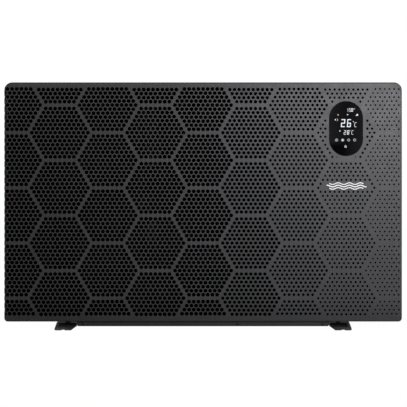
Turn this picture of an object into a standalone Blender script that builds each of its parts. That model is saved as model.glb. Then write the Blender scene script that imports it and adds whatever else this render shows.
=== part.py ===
"""Pool heat pump, built as an assembly of separate parts.

Cabinet frame in millimetres: X to the right seen from the front, Y to the rear, Z up.
X = 0 is the middle of the cabinet, Y = 0 its mid depth, Z = 0 the floor.
Every part is parented to the empty "unit_origin", which moves the cabinet so that the
world origin lies under the middle of the whole footprint, water unions included.
Spans are (low, high) pairs. Helpers take millimetres and build in metres.
"""

import math

import bpy
import bmesh
from mathutils import Matrix, Vector

# ---------------------------------------------------------------- driving sizes (mm)
WIDTH = 1000.0
HALF_WIDTH = WIDTH / 2
DEPTH = 420.0
FACE_Y = -DEPTH / 2           # outer face of the front panel
REAR_Y = DEPTH / 2            # outer face of the rear panel
RETURN_Y = FACE_Y + 30.0      # end of the front panel's folded return
CABINET_TOP = 623.6
CABINET_BOTTOM = 22.0
PANEL_TOP = 584.0             # top edge of side, rear and grille parts, under the lid's skirt
INNER_Z = (26.6, 612.0)       # height span of the upright inner sheets
SHEET = 1.2                   # sheet steel thickness
TOP_RADIUS = 20.0             # corner radii of the casing
BOTTOM_RADIUS = 9.0

DISPLAY_X, DISPLAY_Z = 360.0, 507.2
DISPLAY_RADIUS, DISPLAY_HEIGHT = 42.4, 137.8    # stadium: end radius, overall height
GLASS_PROUD = 1.0                               # glass in front of the panel face

FAN_X, FAN_Y, FAN_Z = -155.0, -139.0, 322.0
FAN_RADIUS = 240.0
FAN_BLADES = 3
COMPRESSOR_X, COMPRESSOR_Y = 265.0, -60.0
ACCUMULATOR_Y = 55.0
VALVE_X, VALVE_Y, VALVE_Z = 250.0, 60.0, 400.0  # four-way reversing valve
EXCHANGER_X, EXCHANGER_Y = 400.0, 95.0
PORT_Z = (120.0, 400.0)       # low and high water ports
UNION_END_Y = 275.0           # rear end of the union tails

PARTITION_X = 180.0
GAS_CROSSING = (180.0, 350.0)      # (y, z) where the pipes pass the partition
LIQUID_CROSSING = (160.0, 290.0)

HANDLE_Y, HANDLE_Z = (-92.0, 12.0), (512.0, 562.0)     # openings in the right side panel
TERMINAL_Y, TERMINAL_Z = (40.0, 150.0), (478.0, 572.0)
GAUGE_X, GAUGE_Z = 300.0, 470.0
GLAND_X, GLAND_Z = 215.0, 150.0

# ---------------------------------------------------------------- scene
for old in list(bpy.data.objects):
    bpy.data.objects.remove(old, do_unlink=True)
parts = bpy.data.collections.new("pool_heat_pump")
bpy.context.scene.collection.children.link(parts)
origin = bpy.data.objects.new("unit_origin", None)
origin.location.y = -(UNION_END_Y + FACE_Y - GLASS_PROUD) / 2 / 1000
parts.objects.link(origin)


# ---------------------------------------------------------------- materials
def material(name, color, roughness, metallic=0.0, alpha=1.0):
    mat = bpy.data.materials.new(name)
    mat.use_nodes = True
    inputs = mat.node_tree.nodes["Principled BSDF"].inputs
    inputs["Base Color"].default_value = (*color, 1)
    inputs["Roughness"].default_value = roughness
    inputs["Metallic"].default_value = metallic
    inputs["Alpha"].default_value = alpha
    return mat


CASE = material("case_paint", color=(0.075, 0.076, 0.080), roughness=0.42, metallic=0.35)
FOOT = material("foot_paint", color=(0.030, 0.030, 0.032), roughness=0.5, metallic=0.2)
GALVANISED = material("galvanised_steel", color=(0.55, 0.56, 0.57), roughness=0.4, metallic=1.0)
BLACK = material("black_plastic", color=(0.015, 0.015, 0.016), roughness=0.5)
GLASS = material("display_black_glass", color=(0.006, 0.006, 0.007), roughness=0.12)
FIN = material("aluminium_fins", color=(0.35, 0.45, 0.55), roughness=0.35, metallic=1.0)
COPPER = material("copper", color=(0.72, 0.36, 0.22), roughness=0.3, metallic=1.0)
MOTOR = material("motor_shell", color=(0.20, 0.20, 0.21), roughness=0.45, metallic=0.8)
STEEL = material("bright_steel", color=(0.60, 0.60, 0.60), roughness=0.3, metallic=1.0)
COMPRESSOR = material("compressor_paint", color=(0.018, 0.018, 0.019), roughness=0.35,
                      metallic=0.1)
RUBBER = material("rubber", color=(0.02, 0.02, 0.02), roughness=0.8)
PVC = material("grey_pvc", color=(0.23, 0.25, 0.27), roughness=0.45)
TITANIUM = material("titanium", color=(0.45, 0.43, 0.41), roughness=0.35, metallic=1.0)
BRASS = material("brass", color=(0.66, 0.48, 0.20), roughness=0.3, metallic=1.0)
BOARD = material("circuit_board", color=(0.02, 0.16, 0.07), roughness=0.5)
WHITE = material("dial_white", color=(0.75, 0.75, 0.73), roughness=0.5)
NYLON = material("terminal_nylon", color=(0.60, 0.58, 0.52), roughness=0.5)
LENS = material("clear_lens", color=(0.9, 0.95, 0.95), roughness=0.05, alpha=0.35)


# ---------------------------------------------------------------- object helpers
def place(ob, mat=None):
    """Links an object, gives it its material and hangs it on the unit's origin."""
    parts.objects.link(ob)
    ob.parent = origin
    if mat:
        ob.data.materials.clear()
        ob.data.materials.append(mat)
    return ob


def mesh_object(name, bm, mat=None):
    mesh = bpy.data.meshes.new(name)
    bm.to_mesh(mesh)
    bm.free()
    return place(bpy.data.objects.new(name, mesh), mat)


def freeze(ob):
    """Replaces an object by its evaluated mesh: caps welded, faces pointing out."""
    bpy.context.view_layer.update()
    graph = bpy.context.evaluated_depsgraph_get()
    mesh = bpy.data.meshes.new_from_object(ob.evaluated_get(graph))
    bm = bmesh.new()
    bm.from_mesh(mesh)
    bmesh.ops.remove_doubles(bm, verts=bm.verts, dist=1e-6)
    bmesh.ops.recalc_face_normals(bm, faces=bm.faces)
    bm.to_mesh(mesh)
    bm.free()
    name, location, rotation = ob.name, ob.location.copy(), ob.rotation_euler.copy()
    mats = list(ob.data.materials)
    bpy.data.objects.remove(ob, do_unlink=True)
    frozen = bpy.data.objects.new(name, mesh)
    frozen.location, frozen.rotation_euler = location, rotation
    return place(frozen, mats[0] if mats else None)


def smooth(ob, angle=35):
    ob.data.shade_smooth()
    ob.data.set_sharp_from_angle(angle=math.radians(angle))
    return ob


def thicken(ob, thickness, side, even=True):
    """Solidifies a surface; side -1, 0 or 1 puts the thickness to one side of it."""
    solidify = ob.modifiers.new("sheet", "SOLIDIFY")
    solidify.thickness = thickness / 1000
    solidify.offset = side
    solidify.use_even_offset = even
    return freeze(ob)


def boolean(ob, others, operation):
    """Combines an object with others in turn and uses them up."""
    for other in others:
        modifier = ob.modifiers.new("combine", "BOOLEAN")
        modifier.operation = operation
        modifier.solver = "EXACT"
        modifier.object = other
        ob = freeze(ob)
        bpy.data.objects.remove(other, do_unlink=True)
    return smooth(ob)


def join(ob, *others):
    return boolean(ob, others, "UNION")


def cut(ob, *cutters):
    return boolean(ob, cutters, "DIFFERENCE")


def set_origin(ob, point):
    """Puts a part's own origin on a point, leaving its shape in place."""
    target = Vector(point) / 1000
    turn = Matrix.LocRotScale(ob.location, ob.rotation_euler, None)
    ob.data.transform(Matrix.Translation(-target) @ turn)
    ob.rotation_euler = (0, 0, 0)
    ob.location = target
    return ob


# ---------------------------------------------------------------- outline helpers
def arc(cx, cy, radius, start, end, n):
    """n + 1 points on an arc, angles in degrees."""
    angles = [math.radians(start + (end - start) * i / n) for i in range(n + 1)]
    return [(cx + radius * math.cos(a), cy + radius * math.sin(a)) for a in angles]


def circle(cx, cy, radius, n):
    return arc(cx, cy, radius, 0, 360 - 360 / n, n - 1)


def rect(x0, x1, y0, y1):
    return [(x0, y0), (x1, y0), (x1, y1), (x0, y1)]


def display_outline(margin):
    """The display's stadium, grown by a margin all round."""
    radius = DISPLAY_RADIUS + margin
    reach = (DISPLAY_HEIGHT + 2 * margin) / 2 - radius
    return (arc(DISPLAY_X, DISPLAY_Z + reach, radius, 0, 180, 12)
            + arc(DISPLAY_X, DISPLAY_Z - reach, radius, 180, 360, 12))


def shrink(span, gap):
    return (span[0] + gap, span[1] - gap)


def on_axis(axis, u, v, w):
    """(x, y, z) of a point w along the axis, u and v being the two other coordinates."""
    return {"X": (w, u, v), "Y": (u, w, v), "Z": (u, v, w)}[axis]


# ---------------------------------------------------------------- shape helpers
def cuboid(x, y, z):
    """A bmesh box of the given spans, centred on zero."""
    bm = bmesh.new()
    bmesh.ops.create_cube(bm, size=1.0)
    size = Vector((x[1] - x[0], y[1] - y[0], z[1] - z[0])) / 1000
    bmesh.ops.scale(bm, vec=size, verts=bm.verts)
    return bm


def box(name, x, y, z, mat=None, bevel=0.0):
    ob = mesh_object(name, cuboid(x, y, z), mat)
    ob.location = Vector((sum(x), sum(y), sum(z))) / 2000
    if bevel:
        edge = ob.modifiers.new("edge", "BEVEL")
        edge.width = bevel / 1000
        edge.segments = 2
        edge.limit_method = "ANGLE"
        ob = freeze(ob)
    return ob


def open_box(x, y, z, open_axis):
    """A bmesh box without its face at the high end of axis 0, 1 or 2."""
    bm = cuboid(x, y, z)
    bmesh.ops.translate(bm, vec=Vector((sum(x), sum(y), sum(z))) / 2000, verts=bm.verts)
    lid = max(bm.faces, key=lambda face: face.calc_center_median()[open_axis])
    bmesh.ops.delete(bm, geom=[lid], context="FACES_ONLY")
    return bm


def cylinder(name, axis, centre, radius, span, mat=None, sides=24):
    """A cylinder along an axis; centre holds the two other coordinates."""
    bm = bmesh.new()
    bmesh.ops.create_cone(bm, cap_ends=True, segments=sides, radius1=radius / 1000,
                          radius2=radius / 1000, depth=(span[1] - span[0]) / 1000)
    ob = mesh_object(name, bm, mat)
    ob.location = Vector(on_axis(axis, *centre, sum(span) / 2)) / 1000
    quarter = math.pi / 2
    ob.rotation_euler = {"X": (0, quarter, 0), "Y": (quarter, 0, 0), "Z": (0, 0, 0)}[axis]
    return smooth(ob)


def lathe(name, axis, centre, profile, mat=None, steps=24, closed=False):
    """Turns a profile of (radius, position along Y or Z) points about that axis."""
    mesh = bpy.data.meshes.new(name)
    points = [(r / 1000, 0, h / 1000) for r, h in profile]
    edges = [(i, i + 1) for i in range(len(points) - 1)]
    if closed:
        edges.append((len(points) - 1, 0))
    mesh.from_pydata(points, edges, [])
    ob = place(bpy.data.objects.new(name, mesh), mat)
    ob.location = Vector(on_axis(axis, *centre, 0)) / 1000
    ob.rotation_euler = {"Y": (-math.pi / 2, 0, 0), "Z": (0, 0, 0)}[axis]
    screw = ob.modifiers.new("turn", "SCREW")
    screw.steps = screw.render_steps = steps
    screw.use_merge_vertices = True
    screw.merge_threshold = 1e-5
    return smooth(freeze(ob))


def plate(name, axis, loops, span, mat=None):
    """A flat outline with holes, extruded along an axis. Loops hold the other coordinates."""
    curve = bpy.data.curves.new(name, "CURVE")
    curve.dimensions, curve.fill_mode = "2D", "BOTH"
    curve.extrude = (span[1] - span[0]) / 2000
    for loop in loops:
        spline = curve.splines.new("POLY")
        spline.points.add(len(loop) - 1)
        for point, (u, v) in zip(spline.points, loop):
            point.co = (u / 1000, v / 1000, 0, 1)
        spline.use_cyclic_u = True
    ob = place(bpy.data.objects.new(name, curve), mat)
    ob.location = on_axis(axis, 0, 0, sum(span) / 2000)
    quarter = math.pi / 2
    ob.rotation_euler = {"X": (quarter, 0, quarter), "Y": (quarter, 0, 0), "Z": (0, 0, 0)}[axis]
    return freeze(ob)


def bent(name, axis, section, span, thickness, mat, side=0):
    """Sheet metal: an open section line extruded along an axis and thickened."""
    bm = bmesh.new()
    verts = [bm.verts.new(Vector(on_axis(axis, u, v, span[0])) / 1000) for u, v in section]
    edges = [bm.edges.new(pair) for pair in zip(verts, verts[1:])]
    swept = bmesh.ops.extrude_edge_only(bm, edges=edges)["geom"]
    step = Vector(on_axis(axis, 0, 0, span[1] - span[0])) / 1000
    bmesh.ops.translate(bm, vec=step,
                        verts=[item for item in swept if isinstance(item, bmesh.types.BMVert)])
    return smooth(thicken(mesh_object(name, bm, mat), thickness, side), 30)


def rounded_path(points, radius, n=3):
    """Rounds the corners of a pipe's centre line with n steps each."""
    points = [Vector(p) for p in points]
    path = [points[0]]
    for before, corner, after in zip(points, points[1:], points[2:]):
        back, ahead = (before - corner).normalized(), (after - corner).normalized()
        half = back.angle(ahead) / 2
        shortest = min((before - corner).length, (after - corner).length)
        fitted = min(radius, 0.49 * shortest * math.tan(half))
        setback = fitted / math.tan(half)
        centre = corner + (back + ahead).normalized() * (fitted / math.sin(half))
        start = corner + back * setback - centre
        end = corner + ahead * setback - centre
        for i in range(n + 1):
            path.append(centre + start.slerp(end, i / n) * start.length)
    path.append(points[-1])
    return path


def pipe(name, points, radius, mat, bend=18, resolution=2):
    """A solid round bar along a path; bend 0 leaves its corners unrounded."""
    path = rounded_path(points, bend) if bend else [Vector(p) for p in points]
    curve = bpy.data.curves.new(name, "CURVE")
    curve.dimensions = "3D"
    curve.bevel_depth = radius / 1000
    curve.bevel_resolution = resolution
    curve.use_fill_caps = True
    curve.twist_mode = "MINIMUM"
    spline = curve.splines.new("POLY")
    spline.points.add(len(path) - 1)
    for point, position in zip(spline.points, path):
        point.co = (*(position / 1000), 1)
    return smooth(freeze(place(bpy.data.objects.new(name, curve), mat)), 50)


# ---------------------------------------------------------------- casing
REAR_CORNER = 8.0             # radius of the upright rear corners
REAR_CORNER_Y = 185.0         # front end of the rear sheets' side flanges
SIDE_Y = (RETURN_Y + 1, 184.4)
SIDE_WALL_X = (HALF_WIDTH - 6, HALF_WIDTH + 4)     # reach of cutters through the right side


def casing_outline():
    """Front view of the casing: round top corners, tighter bottom corners."""
    top_x, top_z = HALF_WIDTH - TOP_RADIUS, CABINET_TOP - TOP_RADIUS
    bottom_x, bottom_z = HALF_WIDTH - BOTTOM_RADIUS, CABINET_BOTTOM + BOTTOM_RADIUS
    return (arc(top_x, top_z, TOP_RADIUS, 0, 90, 6)
            + arc(-top_x, top_z, TOP_RADIUS, 90, 180, 6)
            + arc(-bottom_x, bottom_z, BOTTOM_RADIUS, 180, 270, 4)
            + arc(bottom_x, bottom_z, BOTTOM_RADIUS, 270, 360, 4))


def front_panel():
    """A shallow folded tray: flat face, 4 mm edge radius, returns, display cut-out."""
    bm = bmesh.new()
    face = bm.faces.new([bm.verts.new((x / 1000, FACE_Y / 1000, z / 1000))
                         for x, z in casing_outline()])
    rim = list(face.edges)
    swept = bmesh.ops.extrude_edge_only(bm, edges=rim)["geom"]
    bmesh.ops.translate(bm, vec=(0, (RETURN_Y - FACE_Y) / 1000, 0),
                        verts=[item for item in swept if isinstance(item, bmesh.types.BMVert)])
    bmesh.ops.bevel(bm, geom=rim, offset=0.004, segments=3, profile=0.5, affect="EDGES")
    bmesh.ops.recalc_face_normals(bm, faces=bm.faces)
    panel = mesh_object("front_panel", bm, CASE)
    # the face normal decides the side, so pick the offset that thickens into the cabinet
    largest = max(panel.data.polygons, key=lambda polygon: polygon.area)
    panel = thicken(panel, SHEET, -1 if largest.normal.y < 0 else 1)
    cut(panel, plate("display_hole", "Y", [display_outline(0.4)], (FACE_Y - 5, FACE_Y + 6)))


def lid_outline(inset):
    x, z = HALF_WIDTH - TOP_RADIUS, CABINET_TOP - TOP_RADIUS
    edge_x, edge_z = HALF_WIDTH - inset, PANEL_TOP + 1
    return ([(-edge_x, edge_z)] + arc(-x, z, TOP_RADIUS - inset, 180, 90, 6)
            + arc(x, z, TOP_RADIUS - inset, 90, 0, 6) + [(edge_x, edge_z)])


def top_cover():
    """The lid, closed at the rear by a flat skirt set into the sheet."""
    lid = bent("top_cover", "Y", lid_outline(0.0), (RETURN_Y + 1, REAR_Y), SHEET, CASE, side=1)
    join(lid, plate("skirt", "Y", [lid_outline(SHEET / 2)], (REAR_Y - SHEET, REAR_Y - 0.01)))


def side_panels():
    section = ([(HALF_WIDTH, PANEL_TOP)]
               + arc(HALF_WIDTH - BOTTOM_RADIUS, CABINET_BOTTOM + BOTTOM_RADIUS,
                     BOTTOM_RADIUS, 0, -90, 4)
               + [(HALF_WIDTH - 24, CABINET_BOTTOM)])
    mirrored = [(-x, z) for x, z in section]
    bent("left_side_panel", "Y", mirrored, SIDE_Y, SHEET, CASE, side=-1)
    right = bent("right_side_panel", "Y", section, SIDE_Y, SHEET, CASE, side=1)
    cut(right,
        box("handle_hole", SIDE_WALL_X, HANDLE_Y, HANDLE_Z),
        box("terminal_hole", SIDE_WALL_X, TERMINAL_Y, TERMINAL_Z))


def rear_sheets():
    """Left rear corner post and the rear panel that wraps the right rear corner."""
    corner_x, corner_y = HALF_WIDTH - REAR_CORNER, REAR_Y - REAR_CORNER
    height = (CABINET_BOTTOM, PANEL_TOP)
    post = ([(-HALF_WIDTH, REAR_CORNER_Y)]
            + arc(-corner_x, corner_y, REAR_CORNER, 180, 90, 4) + [(-461.0, REAR_Y)])
    bent("corner_post", "Z", post, height, SHEET, CASE, side=-1)
    section = ([(151.0, REAR_Y)] + arc(corner_x, corner_y, REAR_CORNER, 90, 0, 4)
               + [(HALF_WIDTH, REAR_CORNER_Y)])
    panel = bent("rear_panel", "Z", section, height, SHEET, CASE, side=-1)
    holes = [   # x, z, radius, sides
        (EXCHANGER_X, PORT_Z[0], 34.0, 32),
        (EXCHANGER_X, PORT_Z[1], 34.0, 32),
        (GAUGE_X, GAUGE_Z, 27.5, 32),
        (GLAND_X, GLAND_Z, 8.5, 16),
    ]
    cut(panel, *[cylinder("hole", "Y", (x, z), radius, (REAR_Y - 10, REAR_Y + 10), sides=sides)
                 for x, z, radius, sides in holes])


def rear_grille():
    """Grid of rectangular windows in front of the coil's rear face."""
    left, right = -460.0, 150.0
    bottom, top = 24.0, PANEL_TOP
    columns, rows = 9, 7
    bar, border = 4.0, 14.0
    pitch_x = (right - left - 2 * border + bar) / columns
    pitch_z = (top - bottom - 2 * border + bar) / rows
    x0, z0 = left + border, bottom + border
    windows = [rect(x0 + i * pitch_x, x0 + (i + 1) * pitch_x - bar,
                    z0 + k * pitch_z, z0 + (k + 1) * pitch_z - bar)
               for i in range(columns) for k in range(rows)]
    plate("rear_grille", "Y", [rect(left, right, bottom, top)] + windows, (206.0, 209.0), BLACK)


# ---------------------------------------------------------------- base, feet and rail
FOOT_SECTION = [    # distance from the middle, z; from the outer top lip round to the inner
    (346.0, 20.4), (366.8, 20.4), (373.8, 1.0), (332.8, 1.0),
    (317.7, 11.9), (317.7, 20.4), (334.0, 20.4),
]
RAIL_SECTION = [(-178.0, 20.6), (-203.5, 20.6), (-203.5, 12.2), (-178.0, 12.2)]     # y, z
RAIL_SCREWS = {"left": -301, "middle": 87, "right": 300}                            # x
RAIL_SCREW_Z = 16.4


def base_pan():
    """Open tray with rounded upright corners, a rib under each side and a drain hole."""
    bm = open_box((-488, 488), (-200, 200), (24.5, 48), open_axis=2)
    upright = [e for e in bm.edges if abs((e.verts[0].co - e.verts[1].co).z) > 0.01]
    bmesh.ops.bevel(bm, geom=upright, offset=0.012, segments=3, profile=0.5, affect="EDGES")
    pan = thicken(mesh_object("base_pan", bm, GALVANISED), 1.5, -1)
    pan = join(pan, *[box("rib", x, (-165, 165), (21.9, 25.4))
                      for x in ((-362, -330), (330, 362))])
    cut(pan, cylinder("drain", "Z", (-300, 120), 8, (15, 40), sides=16))


def feet():
    """Folded feet with a round-ended anchor notch open at each end of the toe plate."""
    notch_radius, notch_y, depth = 4.5, 196.0, (-2, 5)
    for side, name in ((-1, "foot_left"), (1, "foot_right")):
        section = [(side * x, z) for x, z in FOOT_SECTION]
        foot = bent(name, "Y", section, (-208.0, 208.0), 2.0, FOOT)
        x = side * 352.5
        notches = []
        for end in (-1, 1):
            notches.append(box("notch", (x - notch_radius, x + notch_radius),
                               sorted((end * notch_y, end * 216.0)), depth))
            notches.append(cylinder("notch_end", "Z", (x, end * notch_y), notch_radius,
                                    depth, sides=12))
        cut(foot, *notches)


def front_rail():
    rail = bent("front_rail", "X", RAIL_SECTION, (-315.5, 315.5), 1.6, FOOT)
    cut(rail, *[cylinder("screw_hole", "Y", (x, RAIL_SCREW_Z), 2.4, (-210, -198), sides=12)
                for x in RAIL_SCREWS.values()])
    profile = [     # radius, y
        (0, -206.8), (1.6, -206.6), (3.4, -205.6), (3.7, -204.7),
        (2.0, -204.7), (2.0, -194), (0, -193),
    ]
    for place_name, x in RAIL_SCREWS.items():
        lathe("rail_screw_" + place_name, "Y", (x, RAIL_SCREW_Z), profile, STEEL, steps=12)


# ---------------------------------------------------------------- fan section
HUB_PROFILE = [     # radius, y
    (5.5, -176), (47, -176), (54, -169), (54, -102), (51, -102),
    (51, -168), (47, -172), (15, -172), (15, -112), (5.5, -112),
]
MOTOR_PROFILE = [   # radius, y
    (0, -2), (46, -2), (54, -9), (54, -80), (50, -87), (20, -88),
    (20, -95), (5.6, -95), (5.6, -50), (0, -50),
]
BLADE_ROOT = 52.4   # radius where the blades start, inside the hub's wall


def partition_panel():
    plate("partition_panel", "X",
          [rect(-194.4, 197, *INNER_Z), circle(*GAS_CROSSING, 9.0, 12),
           circle(*LIQUID_CROSSING, 7.5, 12)],
          (PARTITION_X, PARTITION_X + SHEET), GALVANISED)


def fan_shroud():
    """Full-width front bulkhead: bell mouth for the fan, opening for the display's back."""
    shroud = plate("fan_shroud", "Y",
                   [rect(-480, 480, 27, INNER_Z[1]),
                    circle(FAN_X, FAN_Z, FAN_RADIUS + 6.5, 48), display_outline(1.5)],
                   (-197, -195), BLACK)
    profile = [     # radius beyond the fan's, y
        (12, -196.5), (5, -194), (4.5, -130), (7, -130), (7.5, -192), (12, -195.4),
    ]
    join(shroud, lathe("ring", "Y", (FAN_X, FAN_Z), [(FAN_RADIUS + r, y) for r, y in profile],
                       steps=48, closed=True))


def blade(index):
    """One swept blade: a grid bent over the hub and thickened."""
    bm = bmesh.new()
    bmesh.ops.create_grid(bm, x_segments=7, y_segments=6, size=0.5)
    for vert in bm.verts:
        out = vert.co.x + 0.5       # 0 at the root, 1 at the tip
        chord = vert.co.y + 0.5     # 0 to 1 across the blade
        radius = BLADE_ROOT + (FAN_RADIUS - BLADE_ROOT) * out
        width = math.radians(58 + 22 * math.sin(math.pi * out * 0.8))     # angular chord
        sweep = math.radians(26) * out * out
        angle = 2 * math.pi * index / FAN_BLADES + sweep + (chord - 0.5) * width
        pitch = 62 - 14 * out       # axial depth of the blade
        camber = 7.0 * math.sin(math.pi * chord) * (0.4 + 0.6 * out)
        y = FAN_Y + (chord - 0.5) * pitch - camber
        vert.co = Vector((radius * math.cos(angle), y, radius * math.sin(angle))) / 1000
    ob = mesh_object("blade", bm, BLACK)
    ob.location = (FAN_X / 1000, 0, FAN_Z / 1000)
    return thicken(ob, 2.6, 0, even=False)


def fan():
    """Impeller, shaft and nut, with their origins on the fan axis."""
    axis, centre = (FAN_X, FAN_Z), (FAN_X, FAN_Y, FAN_Z)
    hub = lathe("fan_impeller", "Y", axis, HUB_PROFILE, BLACK, closed=True)
    set_origin(join(hub, *[blade(k) for k in range(FAN_BLADES)]), centre)
    set_origin(cylinder("motor_shaft", "Y", axis, 5.0, (-187, -52), STEEL, sides=16), centre)
    set_origin(plate("fan_nut", "Y", [circle(*axis, 9.8, 6), circle(*axis, 5.4, 16)],
                     (-184, -176.4), STEEL), centre)


def fan_motor():
    lathe("fan_motor", "Y", (FAN_X, FAN_Z), MOTOR_PROFILE, MOTOR, steps=28)
    left, right = FAN_X - 34, FAN_X + 34
    bent("motor_bracket", "Z", [(left, 22), (left, -0.5), (right, -0.5), (right, 22)],
         INNER_Z, 1.6, GALVANISED)


# ---------------------------------------------------------------- evaporator
COIL_START_X, COIL_Y = 158.0, 170.0         # right end and depth of the rear leg
COIL_LEFT_X, COIL_END_Y = -465.0, -170.0    # left leg and its front end
COIL_BEND = 50.0                            # centre line radius of the corner
COIL_HALF = 20.0                            # half thickness over the fins
CORE_HALF = 3.0                             # half thickness between the fins
FIN_THICKNESS, FIN_PITCH = 1.0, 12.0
HEADER_X = 170.0
HEADER_Z = (70, 560)


def coil_point(distance, offset):
    """A point along the L-shaped centre line, offset outwards."""
    bend_x, bend_y = COIL_LEFT_X + COIL_BEND, COIL_Y - COIL_BEND
    straight, corner = COIL_START_X - bend_x, math.pi / 2 * COIL_BEND
    if distance <= straight:
        return (COIL_START_X - distance, COIL_Y + offset)
    if distance <= straight + corner:
        angle = math.pi / 2 + (distance - straight) / COIL_BEND
        radius = COIL_BEND + offset
        return (bend_x + radius * math.cos(angle), bend_y + radius * math.sin(angle))
    return (bend_x - COIL_BEND - offset, bend_y - (distance - straight - corner))


def evaporator_coil():
    """One comb-shaped plate: fins on both sides of a thin core."""
    length = ((COIL_START_X - COIL_LEFT_X - COIL_BEND) + math.pi / 2 * COIL_BEND
              + (COIL_Y - COIL_BEND - COIL_END_Y))
    gaps = int((length - FIN_THICKNESS) / FIN_PITCH)
    half = FIN_THICKNESS / 2
    centres = [half + i * (length - FIN_THICKNESS) / gaps for i in range(gaps + 1)]
    comb = []
    for c in centres:
        comb += [coil_point(c - half, CORE_HALF), coil_point(c - half, COIL_HALF),
                 coil_point(c + half, COIL_HALF), coil_point(c + half, CORE_HALF)]
    for c in reversed(centres):
        comb += [coil_point(c + half, -CORE_HALF), coil_point(c + half, -COIL_HALF),
                 coil_point(c - half, -COIL_HALF), coil_point(c - half, -CORE_HALF)]
    plate("evaporator_coil", "Z", [comb], (27.0, 602.0), FIN)
    plate("coil_end_plate", "X", [rect(146, 194, 27, 606)], (158.4, 159.9), GALVANISED)


def header(name, y, radius, stub_radius):
    """Upright tube with six stubs towards the coil's end plate."""
    bottom, top = HEADER_Z
    tube = pipe(name, [(HEADER_X, y, bottom), (HEADER_X, y, top)], radius, COPPER, bend=0)
    first, pitch = bottom + 30, (top - bottom - 60) / 5
    join(tube, *[cylinder("stub", "X", (y, first + i * pitch), stub_radius,
                          (160.2, HEADER_X - radius / 2), COPPER, sides=8)
                 for i in range(6)])


# ---------------------------------------------------------------- compressor group
COMPRESSOR_PROFILE = [      # radius, z: outside up, then the hollow down
    (0, 34), (34, 37), (56, 47), (62, 60), (62, 288), (57, 303), (34, 314),
    (6.5, 317), (6.5, 328), (3.5, 328), (3.5, 300), (44, 290), (44, 60), (0, 56),
]
GROMMET_PROFILE = [         # radius, z
    (0, 26.4), (13, 26.4), (10, 37), (12.5, 48.6), (5.4, 48.6),
    (5.4, 52.4), (8.5, 52.4), (8.0, 56), (0, 56),
]
ACCUMULATOR_PROFILE = [     # radius, z: outside up, then the hollow down
    (0, 128), (14, 130), (29, 140), (32, 150), (32, 282), (28, 292), (12, 300), (6.2, 301),
    (6.2, 306), (3.5, 306), (3.5, 294), (26, 280), (28, 152), (0, 142),
]
EXPANSION_VALVE_PROFILE = [     # radius, z
    (0, 262), (9, 263), (12, 268), (12, 302), (19, 304), (19, 330), (16, 334), (0, 334),
]
EXPANSION_VALVE_X = 215
EARS = {"rear": 90, "left": 210, "right": 330}      # angle of each mounting ear


def ear_centre(angle):
    turn = math.radians(angle)
    return (COMPRESSOR_X + 72 * math.cos(turn), COMPRESSOR_Y + 72 * math.sin(turn))


def compressor():
    """Hollow shell on a three-eared base plate, standing on rubber grommets."""
    shell = lathe("compressor", "Z", (COMPRESSOR_X, COMPRESSOR_Y), COMPRESSOR_PROFILE,
                  COMPRESSOR)
    outline, holes = [], []
    for angle in EARS.values():
        outline += arc(*ear_centre(angle), 15, angle - 60, angle + 60, 6)
        holes.append(circle(*ear_centre(angle), 6.0, 12))
    join(shell, plate("base", "Z", [outline] + holes, (49.0, 52.0), COMPRESSOR))
    for place_name, angle in EARS.items():
        lathe("compressor_grommet_" + place_name, "Z", ear_centre(angle), GROMMET_PROFILE,
              RUBBER, steps=12)


def accumulator():
    """Hollow bottle with a tail pipe bent to the compressor's side."""
    bottle = lathe("accumulator", "Z", (COMPRESSOR_X, ACCUMULATOR_Y), ACCUMULATOR_PROFILE,
                   COMPRESSOR, steps=20)
    tail_z = 92
    path = [(COMPRESSOR_X, ACCUMULATOR_Y, 132), (COMPRESSOR_X, ACCUMULATOR_Y, tail_z),
            (COMPRESSOR_X, COMPRESSOR_Y + 62.6, tail_z)]
    join(bottle, pipe("tail", path, 6.0, COMPRESSOR, bend=16))


VALVE_STUB_PITCH = 25
VALVE_STUB_TOP = VALVE_Z + 34
VALVE_STUB_BOTTOM = VALVE_Z - 32


def reversing_valve():
    """Body along Y with one stub above, three below, a bracket and a pilot at the right."""
    x, y, z = VALVE_X, VALVE_Y, VALVE_Z
    body = cylinder("reversing_valve", "Y", (x, z), 14.0, (5, 115), BRASS, sides=16)
    join(body,
         cylinder("top_stub", "Z", (x, y), 6.4, (z + 8, VALVE_STUB_TOP), sides=10),
         *[cylinder("low_stub", "Z", (x, y + step), 6.8, (VALVE_STUB_BOTTOM, z - 8), sides=10)
           for step in (-VALVE_STUB_PITCH, 0, VALVE_STUB_PITCH)],
         box("bracket", (x + 8, x + 26), (y - 8, y + 8), (z - 6, z + 6)),
         cylinder("pilot", "Y", (x + 30, z), 9.0, (y - 30, y + 34), sides=12))


def expansion_valve():
    """Electronic expansion valve with its outlet tube through the partition."""
    y, z = LIQUID_CROSSING
    valve = lathe("expansion_valve", "Z", (EXPANSION_VALVE_X, y), EXPANSION_VALVE_PROFILE,
                  BRASS, steps=16)
    join(valve, pipe("tube", [(210, y, z), (176, y, z)], 4.5, COPPER, bend=0))


TUBE_OFFSET = 25.0            # exchanger tube ends, left and right of its axis
TUBE_TOP = 478.6


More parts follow.
